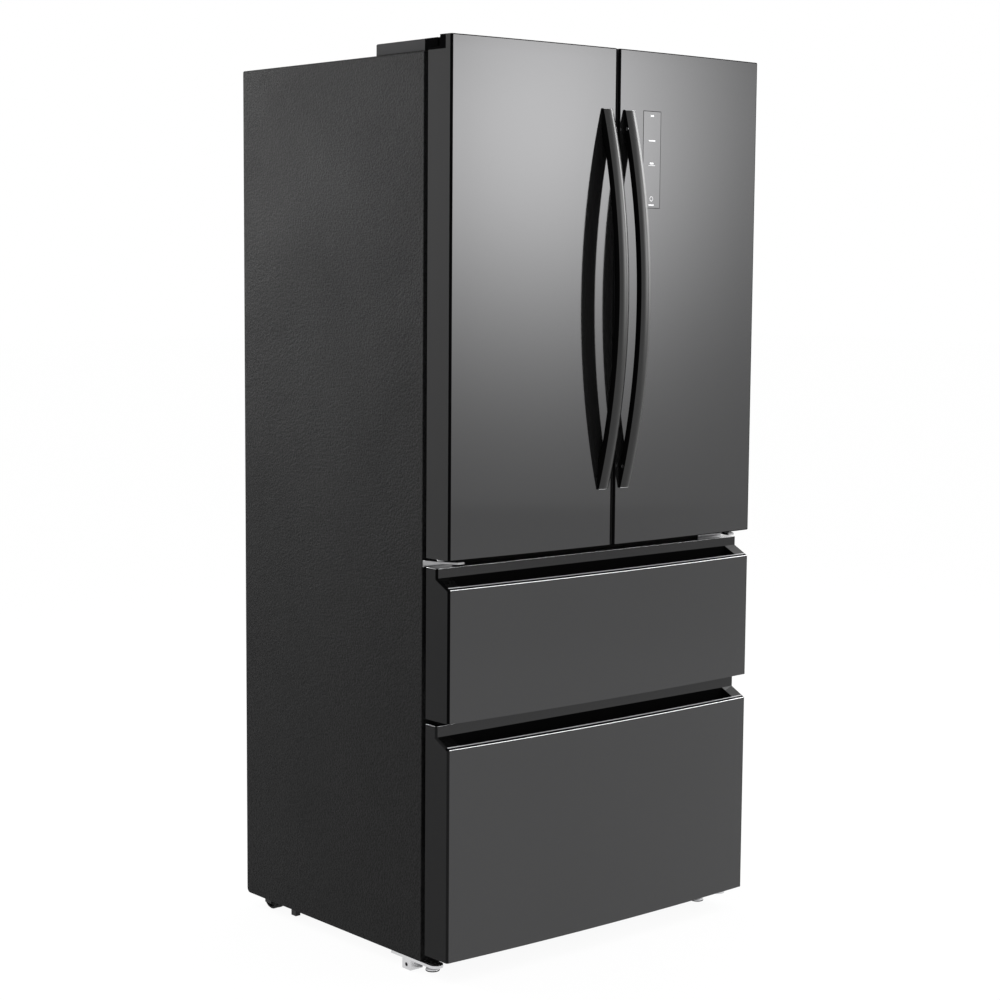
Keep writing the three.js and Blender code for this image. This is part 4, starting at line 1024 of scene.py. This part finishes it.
def tub(name, low, high, finish, corner, wings=0.0, rows=0):
    """An open tub with soft corners, and slots or a flange where it has them."""
    s = sizes()
    top = high.z - (s.tub_wall if wings else 0.0)
    bm = block(low, (high.x, high.y, top))
    bmesh.ops.delete(bm, geom=facing(bm, 2, 1), context="FACES_ONLY")
    uprights = [
        edge for edge in bm.edges if not near(edge.verts[0].co.z, edge.verts[1].co.z)
    ]
    rounded(bm, uprights, corner, 5)
    rounded(bm, edges_where(bm, lambda co: co.z < low.z + 1e-6), corner / 3, 3)
    if rows:
        slotted(bm, low, high, rows)
    if wings:
        rim = edges_where(bm, lambda co: co.z > top - 1e-6 and abs(co.x) > high.x - 1e-6)
        made = bmesh.ops.extrude_edge_only(bm, edges=rim)["geom"]
        for vert in only(made, bmesh.types.BMVert):
            vert.co.x += math.copysign(wings, vert.co.x)
    face_out(bm)
    if min(bm.faces, key=lambda face: face.calc_center_median().z).normal.z > 0:
        bmesh.ops.reverse_faces(bm, faces=bm.faces[:])
    bmesh.ops.solidify(bm, geom=bm.faces[:], thickness=s.tub_wall)
    piece(bm, f"{name}_tub", NODE_BODY[name], finish, None, [name], sharp=50)


def crisper_pull(hand, low, high, front):
    """A narrow bar along the top of a crisper's front."""
    pull = block(
        (low.x + 0.06, low.y, high.z - 0.024), (high.x - 0.06, front + 0.0004, high.z - 0.020)
    )
    rounded(pull, edges_where(pull, lambda co: co.y < low.y + 1e-6), 0.0015, 3)
    piece(pull, f"{hand}_crisper_pull", NODE_BODY[f"crisper_{hand}"], "aluminium")


def pressed_back():
    """The rear sheet with pressed fields and a row of screws round its edge."""
    low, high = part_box("back_panel")
    face_y = low.y + sizes().plate
    bm = block(low, (high.x, face_y, high.z))
    sliced(bm, 2, steps(low.z, high.z, 3)[1:-1])
    fields = facing(bm, 1, 1)
    for margin, rise in ((0.05, 0.0), (0.0016, 0.0005), (0.03, 0.0), (0.0014, -0.0004)):
        bmesh.ops.inset_individual(
            bm, faces=fields, thickness=margin, depth=rise, use_even_offset=True
        )
    piece(
        bm, "pressed_back", "cabinet", "plain_steel", ["galvanised_sheet"], ["back_panel"],
        sharp=20,
    )

    screws = bmesh.new()
    inset = Vector((0.012, 0, 0.012))
    first, last = low + inset, high - inset
    places = [(x, z) for x in (first.x, last.x) for z in steps(first.z, last.z, 9)]
    places += [(x, z) for z in (first.z, last.z) for x in steps(low.x + 0.2, high.x - 0.2, 2)]
    head = [
        (0, 0.0002), (0.0012, 0.0002), (0.0014, 0.0005), (0.0032, 0.0004), (0.0040, 0),
        (0.0040, -0.0002), (0, -0.0002),
    ]
    for x, z in places:
        lathe(head, (x, face_y, z), (0, 1, 0), 16, screws)
    piece(screws, "back_screws", "cabinet", "plain_steel")


def louvred_cover():
    """The machine cover: hooded slots, soft lower corners and the inlet's opening."""
    s = sizes()
    low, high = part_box("machine_cover")
    inlet_low, inlet_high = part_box("power_inlet")
    y = low.y + s.plate + 0.0001
    bm = bmesh.new()
    outline = [(low.x, y, low.z), (high.x, y, low.z), (high.x, y, high.z), (low.x, y, high.z)]
    bm.faces.new([bm.verts.new(point) for point in outline])
    corners = [vert for vert in bm.verts if vert.co.z < low.z + 1e-6]
    clipped(bm, corners, s.rear_corner, 5)
    wide, tall, gap = 0.054, 0.006, 0.0003
    lefts = [-0.150 + 0.060 * step for step in range(5)]
    floors = [0.068 + 0.016 * step for step in range(9)]
    left, right = inlet_low.x - gap, inlet_high.x + gap
    under, over = inlet_low.z - gap, inlet_high.z + gap
    sliced(bm, 0, lefts + [x + wide for x in lefts] + [left, right])
    sliced(bm, 2, floors + [z + tall for z in floors] + [under, over])
    holes = []
    for face in bm.faces:
        middle = face.calc_center_median()
        in_column = any(x < middle.x < x + wide for x in lefts)
        in_row = any(z < middle.z < z + tall for z in floors)
        in_inlet = left < middle.x < right and under < middle.z < over
        if in_column and in_row or in_inlet:
            holes.append(face)
    bmesh.ops.delete(bm, geom=holes, context="FACES")
    sheet = bm.faces[:]
    for face in sheet:
        face.normal_update()
    if sheet[0].normal.y < 0:
        bmesh.ops.reverse_faces(bm, faces=sheet)
    bmesh.ops.solidify(bm, geom=sheet, thickness=s.plate)
    for x in lefts:
        for z in floors:
            hood = [
                (x, y - 0.0002, z + 0.0072), (x, y - 0.0002, z + 0.0030),
                (x, high.y - 0.0002, z + 0.0026),
            ]
            prism(hood, (wide, 0, 0), bm)
    piece(
        bm, "louvred_cover", "cabinet", "plain_steel", ["galvanised_sheet"],
        ["machine_cover"], sharp=20,
    )


# ---- Stage ----


def seen_rays(tree):
    """1 for rays that show the surroundings: to the camera, in gloss and through glass."""
    rays = add(tree, "ShaderNodeLightPath").outputs
    seen = reckon(tree, "MAXIMUM", rays["Is Camera Ray"], rays["Is Glossy Ray"])
    return reckon(tree, "MAXIMUM", seen, rays["Is Transmission Ray"])


def pale_floor(scene):
    """A wide pale floor that glows almost white wherever it is seen."""
    bm = bmesh.new()
    bmesh.ops.create_grid(bm, x_segments=1, y_segments=1, size=30.0)
    mesh = bpy.data.meshes.new("pale_floor")
    bm.to_mesh(mesh)
    bm.free()
    floor = bpy.data.objects.new("pale_floor", mesh)
    scene.collection.objects.link(floor)
    material = bpy.data.materials.new("pale_floor")
    material.use_nodes = True
    tree = material.node_tree
    tree.nodes.clear()
    paint = add(tree, "ShaderNodeBsdfDiffuse", Color=(0.94, 0.94, 0.94, 1))
    glow = add(tree, "ShaderNodeEmission", Color=(1, 1, 1, 1), Strength=1.0)
    share = reckon(tree, "MULTIPLY", seen_rays(tree), 0.94)
    mix = add(tree, "ShaderNodeMixShader", Fac=share)
    feed(tree, mix.inputs[1], paint.outputs[0])
    feed(tree, mix.inputs[2], glow.outputs[0])
    add(tree, "ShaderNodeOutputMaterial", Surface=mix.outputs[0])
    mesh.materials.append(material)


def plain_surroundings(scene):
    """Even white surroundings."""
    world = bpy.data.worlds.new("plain_surroundings")
    scene.world = world
    world.use_nodes = True
    tree = world.node_tree
    tree.nodes.clear()
    sky = add(tree, "ShaderNodeBackground", Color=(1, 1, 1, 1), Strength=1.0)
    add(tree, "ShaderNodeOutputWorld", Surface=sky.outputs[0])


def softbox(name, place, aim, size, level, spread):
    """An area lamp, brightest in its middle, that fades out towards its edges."""
    light = bpy.data.lights.new(name, "AREA")
    light.shape = "RECTANGLE"
    light.size, light.size_y = size
    light.energy = math.pi * size[0] * size[1]
    light.use_nodes = True
    tree = light.node_tree
    tree.nodes.clear()
    vector = "ShaderNodeVectorMath"
    across = add(tree, "ShaderNodeNewGeometry").outputs["Parametric"]
    wide, tall = size[0] / spread[0], size[1] / spread[1]
    centred = reckon(
        tree, "MULTIPLY_ADD", across, (wide, tall, 0), (-wide / 2, -tall / 2, 0), kind=vector
    )
    square = reckon(tree, "DOT_PRODUCT", centred, centred, kind=vector)
    bell = reckon(tree, "EXPONENT", reckon(tree, "MULTIPLY", square, -0.5))
    glow = add(tree, "ShaderNodeEmission", Strength=reckon(tree, "MULTIPLY", bell, level))
    add(tree, "ShaderNodeOutputLight", Surface=glow.outputs[0])
    holder = bpy.data.objects.new(name, light)
    bpy.context.scene.collection.objects.link(holder)
    holder.location = place
    holder.rotation_euler = (Vector(aim) - Vector(place)).to_track_quat("-Z", "Y").to_euler()
    holder.visible_camera = False


def viewpoint(scene):
    """The camera, placed from the plane of the doors' corners and turned three times."""
    camera = bpy.data.cameras.new("camera")
    camera.lens = 76.617
    camera.sensor_width = 36.0
    holder = bpy.data.objects.new("camera", camera)
    scene.collection.objects.link(holder)
    turn = Matrix.Identity(3)
    for degrees, axis in ((-40.50, "Z"), (83.701, "X"), (0.449, "Z")):
        turn = turn @ Matrix.Rotation(math.radians(degrees), 3, axis)
    plane = front_plane(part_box("left_door_panel")[1])
    holder.location = (-2.87709, plane - 3.03864, 1.36321)
    holder.rotation_euler = turn.to_euler()
    scene.camera = holder


# ---- Operators ----


class FRIDGE_OT_finishes(bpy.types.Operator):
    """Gives every carried-over solid its finish and softens its edges"""

    bl_idname = "fridge.finishes"
    bl_label = "Finishes"

    def execute(self, context):
        make_finishes()
        for name, node in frame["nodes"].items():
            node.data.materials.clear()
            hinge = name.startswith("middle_hinge")
            node.data.materials.append(FINISHES["hinge_steel" if hinge else NODE_SLOT[name]])
            if NODE_SLOT[name] != "foam":
                weld = node.modifiers.new("merged", "WELD")
                weld.merge_threshold = 1e-6
                soften(node, 0.0005)
        return {"FINISHED"}


class FRIDGE_OT_cabinet(bpy.types.Operator):
    """Builds the cabinet's wrap of folded sheet"""

    bl_idname = "fridge.cabinet"
    bl_label = "Cabinet"

    def execute(self, context):
        cabinet_wrap()
        return {"FINISHED"}


class FRIDGE_OT_hinge_covers(bpy.types.Operator):
    """Builds the grey caps over the top hinges"""

    bl_idname = "fridge.hinge_covers"
    bl_label = "Hinge covers"

    def execute(self, context):
        for hand in HANDS:
            hinge_cover(hand)
        return {"FINISHED"}


class FRIDGE_OT_supports(bpy.types.Operator):
    """Builds the levelling feet and the rear rollers"""

    bl_idname = "fridge.supports"
    bl_label = "Feet and rollers"

    def execute(self, context):
        for hand in HANDS:
            levelling_foot(hand)
            rear_roller(hand)
        return {"FINISHED"}


class FRIDGE_OT_rear(bpy.types.Operator):
    """Builds the pressed rear sheet and the louvred machine cover"""

    bl_idname = "fridge.rear"
    bl_label = "Rear"

    def execute(self, context):
        pressed_back()
        louvred_cover()
        return {"FINISHED"}


class FRIDGE_OT_shelves(bpy.types.Operator):
    """Builds the glass shelves and the crispers' cover"""

    bl_idname = "fridge.shelves"
    bl_label = "Shelves"

    def execute(self, context):
        for name in ("shelf_upper", "shelf_lower", "crisper_cover"):
            shelf(name)
        return {"FINISHED"}


class FRIDGE_OT_tubs(bpy.types.Operator):
    """Builds the door bins, the crispers and the drawers' baskets"""

    bl_idname = "fridge.tubs"
    bl_label = "Bins, crispers and baskets"

    def execute(self, context):
        s = sizes()
        for hand in HANDS:
            low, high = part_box(f"{hand}_door_bin")
            tub(f"{hand}_door_bin", low, high, "clear_plastic", s.tub_corner)
            low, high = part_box(f"crisper_{hand}")
            front = low + Vector((0, s.pull_depth, 0))
            tub(f"crisper_{hand}", front, high, "clear_plastic", s.tub_corner)
            crisper_pull(hand, low, high, front.y)
        wing = Vector((s.basket_wing, 0, 0))
        for name in DRAWERS:
            low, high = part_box(name.split("_")[0] + "_basket")
            tub(
                name.split("_")[0] + "_basket", low + wing, high - wing, "white_liner", 0.02,
                wings=s.basket_wing, rows=2,
            )
        return {"FINISHED"}


class FRIDGE_OT_doors(bpy.types.Operator):
    """Builds the two door skins and their seals"""

    bl_idname = "fridge.doors"
    bl_label = "Doors"

    def execute(self, context):
        for hand in HANDS:
            door_skin(hand)
            low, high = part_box(f"{hand}_door_gasket")
            bellows(f"{hand}_door_gasket", f"{hand}_door", low, high, sizes().gasket_width)
        return {"FINISHED"}


class FRIDGE_OT_drawers(bpy.types.Operator):
    """Builds the two drawer skins with their grips, and their seals"""

    bl_idname = "fridge.drawers"
    bl_label = "Drawers"

    def execute(self, context):
        for name in DRAWERS:
            drawer_skin(name)
            low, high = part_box(f"{name}_gasket")
            bellows(f"{name}_gasket", name, low, high, sizes().gasket_width)
        return {"FINISHED"}


class FRIDGE_OT_handles(bpy.types.Operator):
    """Builds the two bow handles and their set screws"""

    bl_idname = "fridge.handles"
    bl_label = "Handles"

    def execute(self, context):
        for hand in HANDS:
            bow_handle(hand)
        return {"FINISHED"}


class FRIDGE_OT_control_panel(bpy.types.Operator):
    """Builds the control panel's plate and its plain marks"""

    bl_idname = "fridge.control_panel"
    bl_label = "Control panel"

    def execute(self, context):
        panel_plate()
        panel_marks()
        return {"FINISHED"}


class FRIDGE_OT_stage(bpy.types.Operator):
    """Sets the floor, the lamps, the surroundings and the camera"""

    bl_idname = "fridge.stage"
    bl_label = "Stage"

    def execute(self, context):
        scene = context.scene
        scene.view_settings.view_transform = "Standard"
        pale_floor(scene)
        plain_surroundings(scene)
        softbox(
            "front_softbox", (1.97, -3.10, 1.885), (-0.1, -0.34, 1.6), size=(4.0, 2.8),
            level=7.0, spread=(0.77, 0.53),
        )
        softbox(
            "side_softbox", (-1.7, 2.5, 1.95), (-0.4, 0.1, 1.4), size=(1.6, 2.8),
            level=19.0, spread=(0.32, 0.62),
        )
        softbox(
            "right_softbox", (3.55, -1.0, 2.5), (0.0, -0.35, 1.3), size=(2.4, 3.0),
            level=9.0, spread=(0.6, 0.75),
        )
        viewpoint(scene)
        return {"FINISHED"}


PIECES = (
    FRIDGE_OT_finishes, FRIDGE_OT_cabinet, FRIDGE_OT_hinge_covers, FRIDGE_OT_supports,
    FRIDGE_OT_rear, FRIDGE_OT_shelves, FRIDGE_OT_tubs, FRIDGE_OT_doors, FRIDGE_OT_drawers,
    FRIDGE_OT_handles, FRIDGE_OT_control_panel, FRIDGE_OT_stage,
)


class FRIDGE_PT_panel(bpy.types.Panel):
    """Lists the pieces of the refrigerator"""

    bl_idname = "FRIDGE_PT_panel"
    bl_label = "Refrigerator"
    bl_space_type = "VIEW_3D"
    bl_region_type = "UI"
    bl_category = "Refrigerator"

    def draw(self, context):
        for operator in PIECES:
            self.layout.operator(operator.bl_idname)


CLASSES = (FridgeSizes, FridgeColours) + PIECES + (FRIDGE_PT_panel,)


def register():
    for item in CLASSES:
        bpy.utils.register_class(item)
    bpy.types.Scene.fridge_sizes = bpy.props.PointerProperty(type=FridgeSizes)
    bpy.types.Scene.fridge_colours = bpy.props.PointerProperty(type=FridgeColours)


def unregister():
    del bpy.types.Scene.fridge_colours
    del bpy.types.Scene.fridge_sizes
    for item in reversed(CLASSES):
        bpy.utils.unregister_class(item)


def main():
    register()
    for operator in PIECES:
        group, name = operator.bl_idname.split(".")
        getattr(getattr(bpy.ops, group), name)()


if __name__ == "__main__":
    main()
